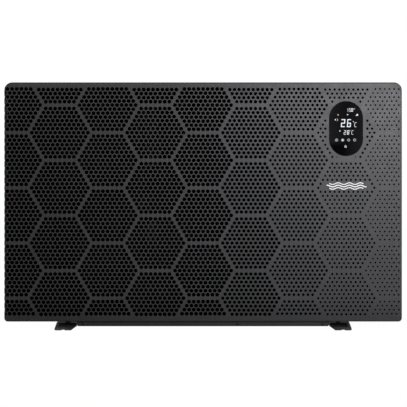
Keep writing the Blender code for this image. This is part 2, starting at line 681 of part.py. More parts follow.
def refrigerant_pipes():
    """Pipes between the components; their ends stop just short of each stub."""
    comp_x, gap = COMPRESSOR_X, 0.6
    x, y = VALVE_X, VALVE_Y
    valve_top, valve_bottom = VALVE_STUB_TOP + 0.8, VALVE_STUB_BOTTOM - 0.8
    front_y, back_y = y - VALVE_STUB_PITCH, y + VALVE_STUB_PITCH
    gas_y, gas_z = GAS_CROSSING
    liquid_y = LIQUID_CROSSING[0]
    gas_x, liquid_x = EXCHANGER_X - TUBE_OFFSET, EXCHANGER_X + TUBE_OFFSET
    hx_y, tube_end = EXCHANGER_Y, TUBE_TOP + gap
    pipe("discharge_pipe",
         [(comp_x, COMPRESSOR_Y, 328 + gap), (comp_x, COMPRESSOR_Y, 456), (x, y, 456),
          (x, y, valve_top)], 6.0, COPPER)
    pipe("suction_pipe",
         [(x, y, valve_bottom), (x, y, 342), (comp_x, ACCUMULATOR_Y, 334),
          (comp_x, ACCUMULATOR_Y, 306.8)], 6.0, COPPER, bend=10)
    pipe("evaporator_pipe",
         [(x, front_y, valve_bottom), (x, front_y, gas_z), (206, front_y, gas_z),
          (206, gas_y, gas_z), (HEADER_X + 7.2, gas_y, gas_z)], 6.0, COPPER, bend=14)
    pipe("gas_pipe",
         [(x, back_y, valve_bottom), (x, back_y, 348), (298, 104, 348), (298, 104, 489),
          (gas_x, hx_y, 489), (gas_x, hx_y, tube_end)], 6.0, COPPER, bend=9)
    pipe("liquid_pipe",
         [(liquid_x, hx_y, tube_end), (liquid_x, hx_y, 501), (288, 168, 501), (288, 168, 236),
          (EXPANSION_VALVE_X, liquid_y, 236), (EXPANSION_VALVE_X, liquid_y, 262 - gap)],
         4.8, COPPER, bend=12)


# ---------------------------------------------------------------- water heat exchanger
SHELL_PROFILE = [   # radius, z: outside up, then the inside down
    (0, 40), (75, 40), (75, 26.6), (82, 26.6), (82, 444), (88, 446),
    (88, 452), (76, 452), (76, 46), (0, 46),
]
TAIL_PROFILE = [    # radius, y
    (22, 229.9), (33, 229.9), (33, 234.2), (29.5, 234.2), (29.5, UNION_END_Y),
    (25, UNION_END_Y), (25, 240), (22, 240),
]
SWITCH_Y = 194      # flow switch axis, in the low port


def heat_exchanger():
    """Shell with two bored rear ports and the flow switch hole, and its lid."""
    x, y = EXCHANGER_X, EXCHANGER_Y
    shell = lathe("heat_exchanger_shell", "Z", (x, y), SHELL_PROFILE, PVC, steps=32)
    shell = join(shell, *[cylinder("port", "Y", (x, z), 33.0, (167, 226), sides=32)
                          for z in PORT_Z])
    cut(shell,
        *[cylinder("bore", "Y", (x, z), 22.0, (150, 240)) for z in PORT_Z],
        cylinder("switch_hole", "Z", (x, SWITCH_Y), 8.0, (130, 160), sides=16))
    plate("heat_exchanger_lid", "Z",
          [circle(x, y, 88, 32), circle(x - TUBE_OFFSET, y, 7.8, 12),
           circle(x + TUBE_OFFSET, y, 7.8, 12)],
          (452.4, 466.0), PVC)


def titanium_coil():
    """Helix going down, then straight back up on the left of the axis."""
    x, y = EXCHANGER_X, EXCHANGER_Y
    turns, steps_per_turn, radius = 7, 12, 50.0
    top, drop = 424, 336
    steps = turns * steps_per_turn
    path = [(x + TUBE_OFFSET, y, TUBE_TOP), (x + TUBE_OFFSET, y, 436), (x + 40, y, 428)]
    for i in range(steps + 1):
        t = i / steps
        angle = 2 * math.pi * turns * t
        path.append((x + radius * math.cos(angle), y + radius * math.sin(angle),
                     top - drop * t))
    path += [(x + 30, y + 4, 80), (x, y + 2, 76), (x - 21, y, 82),
             (x - TUBE_OFFSET, y, 96), (x - TUBE_OFFSET, y, TUBE_TOP)]
    pipe("titanium_coil", path, 7.0, TITANIUM, bend=0, resolution=1)


def union_set(prefix, z):
    """Union on a water port: nut, tail with its pipe socket, and the seal between."""
    x = EXCHANGER_X
    lobes = []
    for i in range(40):
        angle = 2 * math.pi * i / 40
        radius = 42.0 if i % 5 < 2 else 39.4
        lobes.append((x + radius * math.cos(angle), z + radius * math.sin(angle)))
    nut = cut(plate(prefix + "_union_nut", "Y", [lobes], (213.0, 241.0), BLACK),
              cylinder("bore", "Y", (x, z), 33.5, (205, 234.6), sides=28),
              cylinder("shoulder", "Y", (x, z), 30.1, (230, 250), sides=28))
    set_origin(nut, (x, 227, z))
    lathe(prefix + "_union_tail", "Y", (x, z), TAIL_PROFILE, PVC, steps=28, closed=True)
    lathe(prefix + "_o_ring", "Y", (x, z), circle(27.5, 228.0, 1.6, 6), RUBBER, closed=True)


def flow_switch():
    """Bevelled body over the low port, with a paddle hanging from a pin."""
    x, y, pin_z = EXCHANGER_X, SWITCH_Y, 161
    body = box("flow_switch_body", (x - 16, x + 16), (183, 205), (153.6, 188), BLACK, bevel=1.5)
    cut(body, cylinder("well", "Z", (x, y), 8.0, (150, 172), sides=16))
    paddle = join(box("flow_switch_paddle", (x - 7, x + 7), (193.4, 194.6), (107, 133), BRASS),
                  cylinder("stem", "Z", (x, y), 1.5, (130, pin_z), sides=8),
                  cylinder("pin", "X", (y, pin_z), 2.0, (x - 5.5, x + 5.5), sides=10))
    set_origin(paddle, (x, y, pin_z))


# ---------------------------------------------------------------- electrics and handle
def electrical_box():
    bm = open_box((190, 455), (-150, 190), (512, 600), open_axis=2)
    thicken(mesh_object("electrical_box", bm, GALVANISED), SHEET, -1)


def main_board():
    join(box("main_board", (205, 440), (-130, 170), (520, 521.6), BOARD),
         *[cylinder("capacitor", "Z", (x, -90), 14, (521, 556), sides=12)
           for x in (240, 275, 310)],
         box("reactor", (370, 425), (-110, -50), (521, 560)),
         box("module", (230, 330), (60, 110), (521, 532)),
         box("relay", (370, 392), (90, 140), (521, 540)))


def terminals():
    """Slotted terminal block, and its cover in the right side panel."""
    block = box("terminal_block", (457, 479), (55, 135), (505, 545), NYLON)
    cut(block, *[box("slot", (470, 482), (60 + 15 * i, 70 + 15 * i), (512, 538))
                 for i in range(5)])
    cover = box("terminal_cover", (HALF_WIDTH - 3.0, HALF_WIDTH), shrink(TERMINAL_Y, 0.6),
                shrink(TERMINAL_Z, 0.6), CASE, bevel=0.6)
    set_origin(cover, (HALF_WIDTH, sum(TERMINAL_Y) / 2, sum(TERMINAL_Z) / 2))


def side_handle():
    """Recessed grip cup, open to the right, in the side panel's hole."""
    bm = open_box((HALF_WIDTH - 26.55, HALF_WIDTH - 0.05), shrink(HANDLE_Y, 0.6),
                  shrink(HANDLE_Z, 0.6), open_axis=0)
    bmesh.ops.bevel(bm, geom=[e for e in bm.edges if not e.is_boundary], offset=0.006,
                    segments=2, profile=0.5, affect="EDGES")
    smooth(thicken(mesh_object("side_handle", bm, BLACK), 2.0, -1))


# ---------------------------------------------------------------- display
def display():
    """Glass, gasket and the flanged cup behind the panel."""
    def layer(name, margins, near, far, mat=None):
        """A stadium plate between two depths behind the panel face."""
        return plate(name, "Y", [display_outline(m) for m in margins],
                     (FACE_Y + near, FACE_Y + far), mat)

    flange = 6.5
    layer("display_glass", [0], -GLASS_PROUD, 2.6, GLASS)
    layer("display_gasket", [flange, 0.8], 1.6, 3.2, RUBBER)
    cup = layer("display_housing", [flange], 3.6, 5.4, BLACK)
    cup = join(cup, layer("wall", [0], 5.0, 26, BLACK))
    cut(cup, layer("well", [-2], 1, 24))


# ---------------------------------------------------------------- rear fittings
GAUGE_PROFILE = [   # radius, y
    (0, 190), (27, 190), (27, 210.4), (30, 210.4), (30, 214),
    (28.5, 216.5), (25, 216.5), (25, 205), (0, 205),
]
GLAND_PROFILE = [   # radius, y
    (4.5, 194), (8, 194), (8, 210.4), (13, 210.4), (13, 218),
    (11, 219), (10.5, 226), (7.5, 231), (4.5, 231),
]


def pressure_gauge():
    axis = (GAUGE_X, GAUGE_Z)
    lathe("pressure_gauge", "Y", axis, GAUGE_PROFILE, STEEL, steps=28)
    needle = box("gauge_needle", (GAUGE_X - 0.8, GAUGE_X + 0.8), (206.6, 207.4),
                 (GAUGE_Z - 6, GAUGE_Z + 19), RUBBER)
    needle = join(needle, cylinder("hub", "Y", axis, 3.0, (206.0, 208.4), sides=12))
    set_origin(needle, (GAUGE_X, 207, GAUGE_Z))
    cylinder("gauge_lens", "Y", axis, 24.6, (213.0, 214.6), LENS, sides=28)


def cable_gland():
    lathe("cable_gland", "Y", (GLAND_X, GLAND_Z), GLAND_PROFILE, BLACK, steps=12, closed=True)


# ---------------------------------------------------------------- assembly
front_panel()
top_cover()
side_panels()
rear_sheets()
rear_grille()
base_pan()
feet()
front_rail()
partition_panel()
fan_shroud()
fan()
fan_motor()
evaporator_coil()
header("gas_header", GAS_CROSSING[0], radius=6.5, stub_radius=4.0)
header("liquid_header", LIQUID_CROSSING[0], radius=5.0, stub_radius=3.0)
compressor()
accumulator()
reversing_valve()
expansion_valve()
refrigerant_pipes()
heat_exchanger()
titanium_coil()
union_set("inlet", PORT_Z[0])
union_set("outlet", PORT_Z[1])
flow_switch()
electrical_box()
main_board()
terminals()
side_handle()
display()
pressure_gauge()
cable_gland()
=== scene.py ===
"""Looks of the pool heat pump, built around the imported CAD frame.

Lengths in the helpers are millimetres in the cabinet frame: X right, Y to the rear, Z up, with
the front face at Y = -210. V() turns them into metres in the row frame.
"""

import math
import random

import bmesh
import bpy
import numpy as np
from mathutils import Matrix, Vector
from mathutils.geometry import delaunay_2d_cdt


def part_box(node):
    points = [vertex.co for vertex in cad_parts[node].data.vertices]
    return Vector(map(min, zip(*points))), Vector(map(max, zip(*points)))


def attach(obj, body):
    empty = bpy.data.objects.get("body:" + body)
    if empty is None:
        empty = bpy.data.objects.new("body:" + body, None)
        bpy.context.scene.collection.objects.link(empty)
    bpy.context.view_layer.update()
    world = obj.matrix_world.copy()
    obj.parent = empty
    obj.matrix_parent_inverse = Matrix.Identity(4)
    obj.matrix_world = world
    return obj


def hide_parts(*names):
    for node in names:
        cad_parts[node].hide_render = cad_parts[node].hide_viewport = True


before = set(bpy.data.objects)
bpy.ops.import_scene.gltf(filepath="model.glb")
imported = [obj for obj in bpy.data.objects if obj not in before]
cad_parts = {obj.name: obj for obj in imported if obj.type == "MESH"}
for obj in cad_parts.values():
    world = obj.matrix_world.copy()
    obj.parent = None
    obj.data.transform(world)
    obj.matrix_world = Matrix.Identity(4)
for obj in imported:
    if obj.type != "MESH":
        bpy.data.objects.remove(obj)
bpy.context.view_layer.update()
random.seed(7)

glass_lo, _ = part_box("display_glass")
Y0 = glass_lo.y + 0.211                      # row-frame Y of the cabinet's mid depth
DISPLAY_X, DISPLAY_Z, DISPLAY_R, DISPLAY_H = 359.2, 507.2, 42.4, 137.8
FACE, H, Z_BOT, Z_TOP = -210.0, 500.0, 22.0, 623.6


def V(x, y, z):
    return Vector((x / 1000, y / 1000 + Y0, z / 1000))


# ------------------------------------------------------------------ materials
def nodes_of(name):
    m = bpy.data.materials.new(name)
    m.use_nodes = True
    nt = m.node_tree
    p = nt.nodes["Principled BSDF"]
    return m, nt, p


def noise(nt, coord, scale, detail=3.0, rough=0.55, stretch=None):
    src = coord
    if stretch:
        mp = nt.nodes.new("ShaderNodeMapping")
        mp.inputs["Scale"].default_value = stretch
        nt.links.new(coord, mp.inputs["Vector"])
        src = mp.outputs["Vector"]
    n = nt.nodes.new("ShaderNodeTexNoise")
    n.inputs["Scale"].default_value = scale
    n.inputs["Detail"].default_value = detail
    n.inputs["Roughness"].default_value = rough
    nt.links.new(src, n.inputs["Vector"])
    return n.outputs["Fac"]


def remap(nt, value, a, b, lo=0.3, hi=0.7):
    r = nt.nodes.new("ShaderNodeMapRange")
    r.inputs["From Min"].default_value, r.inputs["From Max"].default_value = lo, hi
    r.inputs["To Min"].default_value, r.inputs["To Max"].default_value = a, b
    nt.links.new(value, r.inputs["Value"])
    return r.outputs["Result"]


def mix(nt, fac, a, b):
    """Colour mix; a and b are colours or sockets."""
    m = nt.nodes.new("ShaderNodeMix")
    m.data_type = "RGBA"
    for i, v in ((6, a), (7, b)):
        if isinstance(v, tuple):
            m.inputs[i].default_value = (*v[:3], 1)
        else:
            nt.links.new(v, m.inputs[i])
    if isinstance(fac, float):
        m.inputs[0].default_value = fac
    else:
        nt.links.new(fac, m.inputs[0])
    return m.outputs[2]


def math_node(nt, op, a, b=None):
    n = nt.nodes.new("ShaderNodeMath")
    n.operation = op
    for i, v in enumerate((a, b)):
        if v is None:
            continue
        if isinstance(v, (int, float)):
            n.inputs[i].default_value = v
        else:
            nt.links.new(v, n.inputs[i])
    return n.outputs[0]


def edge_mask(nt, radius, lo=0.02, hi=0.25):
    """1 on convex and concave edges, from the difference of the rounded and the true normal."""
    bev = nt.nodes.new("ShaderNodeBevel")
    bev.samples = 4
    bev.inputs["Radius"].default_value = radius
    geo = nt.nodes.new("ShaderNodeNewGeometry")
    dot = nt.nodes.new("ShaderNodeVectorMath")
    dot.operation = "DOT_PRODUCT"
    nt.links.new(bev.outputs["Normal"], dot.inputs[0])
    nt.links.new(geo.outputs["Normal"], dot.inputs[1])
    inv = math_node(nt, "SUBTRACT", 1.0, dot.outputs["Value"])
    return remap(nt, inv, 0.0, 1.0, lo, hi)


def surface(name, rgb, rough, metal=0.0, var=0.10, var_scale=9.0, grain=0.012, grain_scale=900.0, spec=0.5,
            wear=0.0, wear_rgb=(0.3, 0.3, 0.3), wear_radius=0.0008, dust_and_light=0.0, dust_and_light_rgb=(0.30, 0.28, 0.25),
            brushed=None, coat=0.0, rough_var=0.06, tint=None, spots=0.0, spots_rgb=(0.05, 0.05, 0.05)):
    """A procedural finish: colour mottling, roughness variation, fine grain or brushing as bump, edge wear, and dust on
    up-facing faces, which on the feet is also painted light.
    """
    m, nt, p = nodes_of(name)
    tc = nt.nodes.new("ShaderNodeTexCoord")
    co = tc.outputs["Object"]
    broad = noise(nt, co, var_scale, 4.0)
    fine = noise(nt, co, grain_scale, 2.0, 0.6, brushed)
    dark = tuple(c * (1 - var) for c in rgb)
    light = tuple(min(1.0, c * (1 + var)) for c in (tint or rgb))
    col = mix(nt, remap(nt, broad, 0.0, 1.0), dark, light)
    col = mix(nt, remap(nt, fine, 0.0, 0.22, 0.35, 0.65), col, tuple(min(1.0, c * 1.7 + 0.0006) for c in rgb))
    if spots:
        blot = noise(nt, co, var_scale * 6, 5.0, 0.65)
        col = mix(nt, remap(nt, blot, 0.0, spots, 0.56, 0.66), col, spots_rgb)
    rr = remap(nt, noise(nt, co, var_scale * 4, 3.0), max(0.02, rough - rough_var), min(1.0, rough + rough_var))
    if wear:
        e = edge_mask(nt, wear_radius)
        patch = remap(nt, noise(nt, co, 160.0, 4.0, 0.7), 0.15, 1.0, 0.40, 0.62)
        e = math_node(nt, "MULTIPLY", math_node(nt, "MULTIPLY", e, patch), wear)
        col = mix(nt, e, col, wear_rgb)
    if dust_and_light:
        geo = nt.nodes.new("ShaderNodeNewGeometry")
        sep = nt.nodes.new("ShaderNodeSeparateXYZ")
        nt.links.new(geo.outputs["Normal"], sep.inputs[0])
        up = remap(nt, sep.outputs["Z"], 0.0, 1.0, 0.5, 1.0)
        cloud = remap(nt, noise(nt, co, 14.0, 6.0, 0.7), 0.2, 1.0, 0.35, 0.7)
        d = math_node(nt, "MULTIPLY", math_node(nt, "MULTIPLY", up, cloud), dust_and_light)
        col = mix(nt, d, col, dust_and_light_rgb)
        rr = math_node(nt, "ADD", rr, math_node(nt, "MULTIPLY", d, 0.5))
    nt.links.new(col, p.inputs["Base Color"])
    nt.links.new(rr, p.inputs["Roughness"])
    p.inputs["Metallic"].default_value = metal
    p.inputs["Specular IOR Level"].default_value = spec
    p.inputs["Coat Weight"].default_value = coat
    p.inputs["Coat Roughness"].default_value = 0.12
    b = nt.nodes.new("ShaderNodeBump")
    b.inputs["Strength"].default_value = 0.5
    b.inputs["Distance"].default_value = grain / 1000
    nt.links.new(fine, b.inputs["Height"])
    nt.links.new(b.outputs["Normal"], p.inputs["Normal"])
    return m


CASE = surface("case_powder_coat", (0.0301, 0.0301, 0.0302), 0.46, 0.0, var=0.05, grain=0.035, grain_scale=1500, spec=0.5)
CASE_SIDE = surface("case_powder_coat_sides", (0.0301, 0.0301, 0.0302), 0.46, 0.0, var=0.07, grain=0.035, grain_scale=1500,
                    wear=0.5, wear_rgb=(0.11, 0.11, 0.112), dust_and_light=0.03, rough_var=0.03)
# Feet: the up-facing faces run strongly to light grey, which is dust and also painted light on the tops of the base
# plates.
FOOT = surface("foot_powder_coat", (0.034, 0.034, 0.0352), 0.5, 0.0, var=0.12, grain=0.04, grain_scale=1300, wear=0.35,
               wear_rgb=(0.08, 0.08, 0.08), wear_radius=0.0006, dust_and_light=0.5, dust_and_light_rgb=(0.150, 0.148, 0.145))
# Rail: darker than the case and feet paint and with less sheen, which is painted shade of the rail under the panel's
# lower edge.
RAIL_SHADED = surface("rail_coat_painted_shade", (0.0195, 0.0195, 0.0203), 0.5, 0.0, var=0.12, grain=0.04, grain_scale=1300, wear=0.35, spec=0.3,
               wear_rgb=(0.05, 0.05, 0.05), wear_radius=0.0006)
BLACK = surface("black_moulding", (0.012, 0.012, 0.0125), 0.5, var=0.15, grain=0.03, grain_scale=1100, wear=0.3,
                wear_rgb=(0.05, 0.05, 0.05), dust_and_light=0.04)
# Fan shroud: black plastic, made far darker than plastic and nearly without sheen, which is painted shade of the inside
# behind the holes.
DEEP_SHADE = surface("shroud_black_painted_shade", (0.0005, 0.0005, 0.0006), 0.8, var=0.25, grain=0.03, grain_scale=700, spec=0.02)
# Fan: black plastic, darkened further and with little sheen, which is painted shade of the fan inside the case.
FANBLADE_SHADED = surface("fan_plastic_painted_shade", (0.0014, 0.0014, 0.0015), 0.5, var=0.25, grain=0.02, grain_scale=800, spec=0.05, wear=0.25,
                   wear_rgb=(0.010, 0.010, 0.010))
COPPER = surface("copper_tube", (0.78, 0.36, 0.22), 0.26, 1.0, var=0.12, var_scale=22, grain=0.004, grain_scale=500, wear=0.5,
                 wear_rgb=(0.95, 0.55, 0.38), spots=0.5, spots_rgb=(0.30, 0.12, 0.07), brushed=(1, 1, 0.2), rough_var=0.12)
COIL_COPPER = surface("coil_tube", (0.70, 0.33, 0.20), 0.34, 1.0, var=0.15, var_scale=22, grain=0.004, grain_scale=500, spots=0.6,
                      spots_rgb=(0.26, 0.11, 0.07), rough_var=0.12)
BRASS = surface("brass", (0.72, 0.50, 0.20), 0.30, 1.0, var=0.10, var_scale=30, grain=0.005, grain_scale=600, wear=0.6,
                wear_rgb=(0.92, 0.74, 0.40), spots=0.3, spots_rgb=(0.35, 0.22, 0.08), rough_var=0.10)
STEEL = surface("zinc_plated_steel", (0.56, 0.56, 0.55), 0.30, 1.0, var=0.08, var_scale=40, grain=0.004, grain_scale=900, wear=0.6,
                wear_rgb=(0.85, 0.85, 0.85), rough_var=0.10)
FIN = surface("coated_fin_aluminium", (0.36, 0.46, 0.58), 0.34, 0.9, var=0.06, var_scale=6, grain=0.006, grain_scale=700, dust_and_light=0.02,
              wear=0.3, wear_rgb=(0.75, 0.78, 0.8), rough_var=0.07)
MOTOR = surface("motor_shell", (0.016, 0.016, 0.017), 0.42, 0.2, var=0.15, grain=0.03, grain_scale=700, wear=0.5, wear_rgb=(0.12, 0.12, 0.12), spec=0.3)
COMP = surface("compressor_enamel", (0.012, 0.012, 0.013), 0.30, 0.0, var=0.15, grain=0.05, grain_scale=300, spec=0.6, wear=0.6,
               wear_rgb=(0.14, 0.13, 0.12), dust_and_light=0.10, coat=0.4)
RUBBER = surface("rubber", (0.014, 0.014, 0.014), 0.78, var=0.2, grain=0.03, grain_scale=900, spec=0.3, dust_and_light=0.08, wear=0.3, wear_rgb=(0.06, 0.06, 0.06))
PVC = surface("grey_pvc", (0.19, 0.205, 0.22), 0.42, var=0.06, grain=0.012, grain_scale=500, spec=0.5, wear=0.5, wear_rgb=(0.34, 0.36, 0.38), dust_and_light=0.06)
TITAN = surface("titanium_tube", (0.46, 0.43, 0.40), 0.30, 1.0, var=0.12, var_scale=14, grain=0.005, grain_scale=600,
                spots=0.4, spots_rgb=(0.30, 0.26, 0.38), rough_var=0.08, wear=0.4, wear_rgb=(0.7, 0.68, 0.66))
BLACK_SCREW = surface("black_zinc_steel", (0.012, 0.012, 0.013), 0.38, 0.6, var=0.2, grain=0.004, grain_scale=900, wear=0.5, wear_rgb=(0.10, 0.10, 0.10),
                      spots=0.2, spots_rgb=(0.03, 0.02, 0.015), rough_var=0.08)
PAN = surface("base_pan_coating", (0.0036, 0.0036, 0.0038), 0.6, var=0.2, grain=0.03, grain_scale=700, spec=0.15, wear=0.5, wear_rgb=(0.05, 0.05, 0.05),
              spots=0.3, spots_rgb=(0.010, 0.009, 0.008))
NYLON = surface("terminal_nylon", (0.56, 0.54, 0.47), 0.48, var=0.06, grain=0.01, grain_scale=500, wear=0.4, wear_rgb=(0.75, 0.73, 0.67), dust_and_light=0.05)
WHITE = surface("dial_white", (0.72, 0.72, 0.70), 0.55, var=0.03, grain=0.006, grain_scale=400, spots=0.05, spots_rgb=(0.55, 0.54, 0.50))
INK = surface("print_black", (0.014, 0.014, 0.015), 0.6, var=0.2, grain=0.004, grain_scale=900)
MARK = surface("print_white", (0.74, 0.74, 0.75), 0.5, var=0.03, grain=0.006, grain_scale=900)
COAT_WHITE = surface("component_white", (0.42, 0.42, 0.40), 0.5, var=0.08, grain=0.01, grain_scale=500, wear=0.3, wear_rgb=(0.6, 0.6, 0.58))


def galvanised(name="galvanised_sheet"):
    """Zinc spangle: crystal cells of slightly different tone and roughness."""
    m, nt, p = nodes_of(name)
    co = nt.nodes.new("ShaderNodeTexCoord").outputs["Object"]
    vor = nt.nodes.new("ShaderNodeTexVoronoi")
    vor.inputs["Scale"].default_value = 70
    nt.links.new(co, vor.inputs["Vector"])
    sep = nt.nodes.new("ShaderNodeSeparateColor")
    nt.links.new(vor.outputs["Color"], sep.inputs[0])
    col = mix(nt, sep.outputs[0], (0.40, 0.41, 0.42), (0.62, 0.63, 0.64))
    stain = remap(nt, noise(nt, co, 18, 5, 0.65), 0.0, 0.5, 0.5, 0.7)
    col = mix(nt, stain, col, (0.70, 0.70, 0.68))
    e = math_node(nt, "MULTIPLY", edge_mask(nt, 0.0007), 0.6)
    col = mix(nt, e, col, (0.25, 0.24, 0.23))
    nt.links.new(col, p.inputs["Base Color"])
    rr = math_node(nt, "ADD", remap(nt, sep.outputs[1], 0.28, 0.48, 0.0, 1.0), math_node(nt, "MULTIPLY", stain, 0.25))
    nt.links.new(rr, p.inputs["Roughness"])
    p.inputs["Metallic"].default_value = 0.9
    b = nt.nodes.new("ShaderNodeBump")
    b.inputs["Strength"].default_value = 0.3
    b.inputs["Distance"].default_value = 0.00002
    nt.links.new(noise(nt, co, 420, 3), b.inputs["Height"])
    nt.links.new(b.outputs["Normal"], p.inputs["Normal"])
    return m


def board_green():
    """Circuit board: solder mask with copper tracks showing through as a stepped grid."""
    m, nt, p = nodes_of("circuit_board")
    co = nt.nodes.new("ShaderNodeTexCoord").outputs["Object"]
    br = nt.nodes.new("ShaderNodeTexBrick")
    br.inputs["Scale"].default_value = 55
    br.inputs["Mortar Size"].default_value = 0.03
    br.inputs["Color1"].default_value = (0.010, 0.085, 0.032, 1)
    br.inputs["Color2"].default_value = (0.013, 0.105, 0.040, 1)
    br.inputs["Mortar"].default_value = (0.035, 0.22, 0.09, 1)
    nt.links.new(co, br.inputs["Vector"])
    col = mix(nt, remap(nt, noise(nt, co, 60, 4), 0.0, 0.4), br.outputs["Color"], (0.02, 0.14, 0.055))
    nt.links.new(col, p.inputs["Base Color"])
    nt.links.new(remap(nt, noise(nt, co, 30, 3), 0.25, 0.45), p.inputs["Roughness"])
    b = nt.nodes.new("ShaderNodeBump")
    b.inputs["Strength"].default_value = 0.3
    b.inputs["Distance"].default_value = 0.00003
    nt.links.new(br.outputs["Fac"], b.inputs["Height"])
    nt.links.new(b.outputs["Normal"], p.inputs["Normal"])
    return m


def display_glass_material():
    """Tinted glass over a black mask, with a painted sheen: the upper part and the right half are lighter, and lighter
    again towards both sides; the lower left stays near black.
    """
    m, nt, p = nodes_of("display_glass")
    co = nt.nodes.new("ShaderNodeTexCoord").outputs["Object"]
    sep = nt.nodes.new("ShaderNodeSeparateXYZ")
    nt.links.new(co, sep.inputs[0])
    # painted sheen: lighter upper part and right half, lighter again towards the sides
    high = remap(nt, sep.outputs["Z"], 0.0, 1.0, 0.462, 0.474)
    right = remap(nt, sep.outputs["X"], 0.0, 1.0, 0.352, 0.366)
    lit = math_node(nt, "MAXIMUM", high, right)
    fine = noise(nt, co, 500, 3)
    field = mix(nt, remap(nt, fine, 0.0, 1.0), (0.0135, 0.0135, 0.0150), (0.0160, 0.0160, 0.0175))
    side = math_node(nt, "ABSOLUTE", math_node(nt, "SUBTRACT", sep.outputs["X"], DISPLAY_X / 1000))
    field = mix(nt, remap(nt, side, 0.0, 1.0, 0.006, 0.046), field, (0.0310, 0.0310, 0.0330))
    col = mix(nt, lit, (0.0004, 0.0004, 0.0005), field)
    nt.links.new(col, p.inputs["Base Color"])
    smear = remap(nt, noise(nt, co, 25, 5, 0.6), 0.10, 0.22)
    nt.links.new(smear, p.inputs["Roughness"])
    p.inputs["Specular IOR Level"].default_value = 0.35
    b = nt.nodes.new("ShaderNodeBump")
    b.inputs["Strength"].default_value = 0.05
    b.inputs["Distance"].default_value = 0.00001
    nt.links.new(fine, b.inputs["Height"])
    nt.links.new(b.outputs["Normal"], p.inputs["Normal"])
    return m


def lit_segment():
    m, nt, p = nodes_of("display_segments")
    co = nt.nodes.new("ShaderNodeTexCoord").outputs["Object"]
    nt.links.new(mix(nt, remap(nt, noise(nt, co, 900, 2), 0.0, 1.0), (0.27, 0.28, 0.29), (0.33, 0.34, 0.35)), p.inputs["Base Color"])
    nt.links.new(remap(nt, noise(nt, co, 300, 2), 0.35, 0.5), p.inputs["Roughness"])
    p.inputs["Emission Color"].default_value = (0.92, 0.96, 1.0, 1)
    p.inputs["Emission Strength"].default_value = 0.76
    return m


def clear_lens():
    m, nt, p = nodes_of("gauge_lens")
    co = nt.nodes.new("ShaderNodeTexCoord").outputs["Object"]
    nt.links.new(mix(nt, remap(nt, noise(nt, co, 60, 4), 0.0, 1.0), (0.90, 0.94, 0.94), (0.97, 0.98, 0.98)), p.inputs["Base Color"])
    nt.links.new(remap(nt, noise(nt, co, 40, 4, 0.7), 0.03, 0.12), p.inputs["Roughness"])
    p.inputs["Transmission Weight"].default_value = 1.0
    p.inputs["IOR"].default_value = 1.1
    p.inputs["Alpha"].default_value = 0.35
    return m


def shade(m, lo, hi, rgb):
    """Painted shade: the colour runs to the dark rgb, and sheen and metal fade out, in front of the depth lo (world Y,
    metres), where the part lies in shadow.
    """
    nt = m.node_tree
    p = nt.nodes["Principled BSDF"]
    base = p.inputs["Base Color"].links[0].from_socket
    sep = nt.nodes.new("ShaderNodeSeparateXYZ")
    nt.links.new(nt.nodes.new("ShaderNodeTexCoord").outputs["Object"], sep.inputs[0])
    front = remap(nt, sep.outputs["Y"], 1.0, 0.0, lo, hi)
    nt.links.new(mix(nt, front, base, rgb), p.inputs["Base Color"])
    nt.links.new(math_node(nt, "MULTIPLY", math_node(nt, "SUBTRACT", 1.0, front), p.inputs["Specular IOR Level"].default_value),
                 p.inputs["Specular IOR Level"])
    if p.inputs["Metallic"].default_value:
        nt.links.new(math_node(nt, "MULTIPLY", math_node(nt, "SUBTRACT", 1.0, front), p.inputs["Metallic"].default_value), p.inputs["Metallic"])


def painted_shade_bands(m, bands):
    """Painted shade: the colour and sheen are scaled down towards the bottom and the top of a piece, where less light
    falls: (share, z of the full effect, z of none) for each band, in metres.
    """
    nt = m.node_tree
    p = nt.nodes["Principled BSDF"]
    sep = nt.nodes.new("ShaderNodeSeparateXYZ")
    nt.links.new(nt.nodes.new("ShaderNodeTexCoord").outputs["Object"], sep.inputs[0])
    f = 1.0
    for share, full, none in bands:
        lo, hi = min(full, none), max(full, none)
        g = remap(nt, sep.outputs["Z"], share if full < none else 1.0, 1.0 if full < none else share, lo, hi)
        f = math_node(nt, "MULTIPLY", g, f)
    scale = nt.nodes.new("ShaderNodeVectorMath")
    scale.operation = "SCALE"
    nt.links.new(p.inputs["Base Color"].links[0].from_socket, scale.inputs[0])
    nt.links.new(f, scale.inputs["Scale"])
    nt.links.new(scale.outputs[0], p.inputs["Base Color"])
    nt.links.new(math_node(nt, "MULTIPLY", f, p.inputs["Specular IOR Level"].default_value), p.inputs["Specular IOR Level"])


def shade_fan_side(m, rgb):
    """Painted shade: the face towards -X, the fan side, runs to the dark rgb with no metal and little sheen, reaching a
    little round the edges.
    """
    nt = m.node_tree
    p = nt.nodes["Principled BSDF"]
    sep = nt.nodes.new("ShaderNodeSeparateXYZ")
    nt.links.new(nt.nodes.new("ShaderNodeNewGeometry").outputs["Normal"], sep.inputs[0])
    part = remap(nt, sep.outputs["X"], 1.0, 0.0, -0.6, 0.3)
    nt.links.new(mix(nt, part, p.inputs["Base Color"].links[0].from_socket, rgb), p.inputs["Base Color"])
    nt.links.new(remap(nt, sep.outputs["X"], 0.0, 0.9, -0.6, 0.3), p.inputs["Metallic"])
    nt.links.new(remap(nt, sep.outputs["X"], 0.12, 0.5, -0.6, 0.3), p.inputs["Specular IOR Level"])


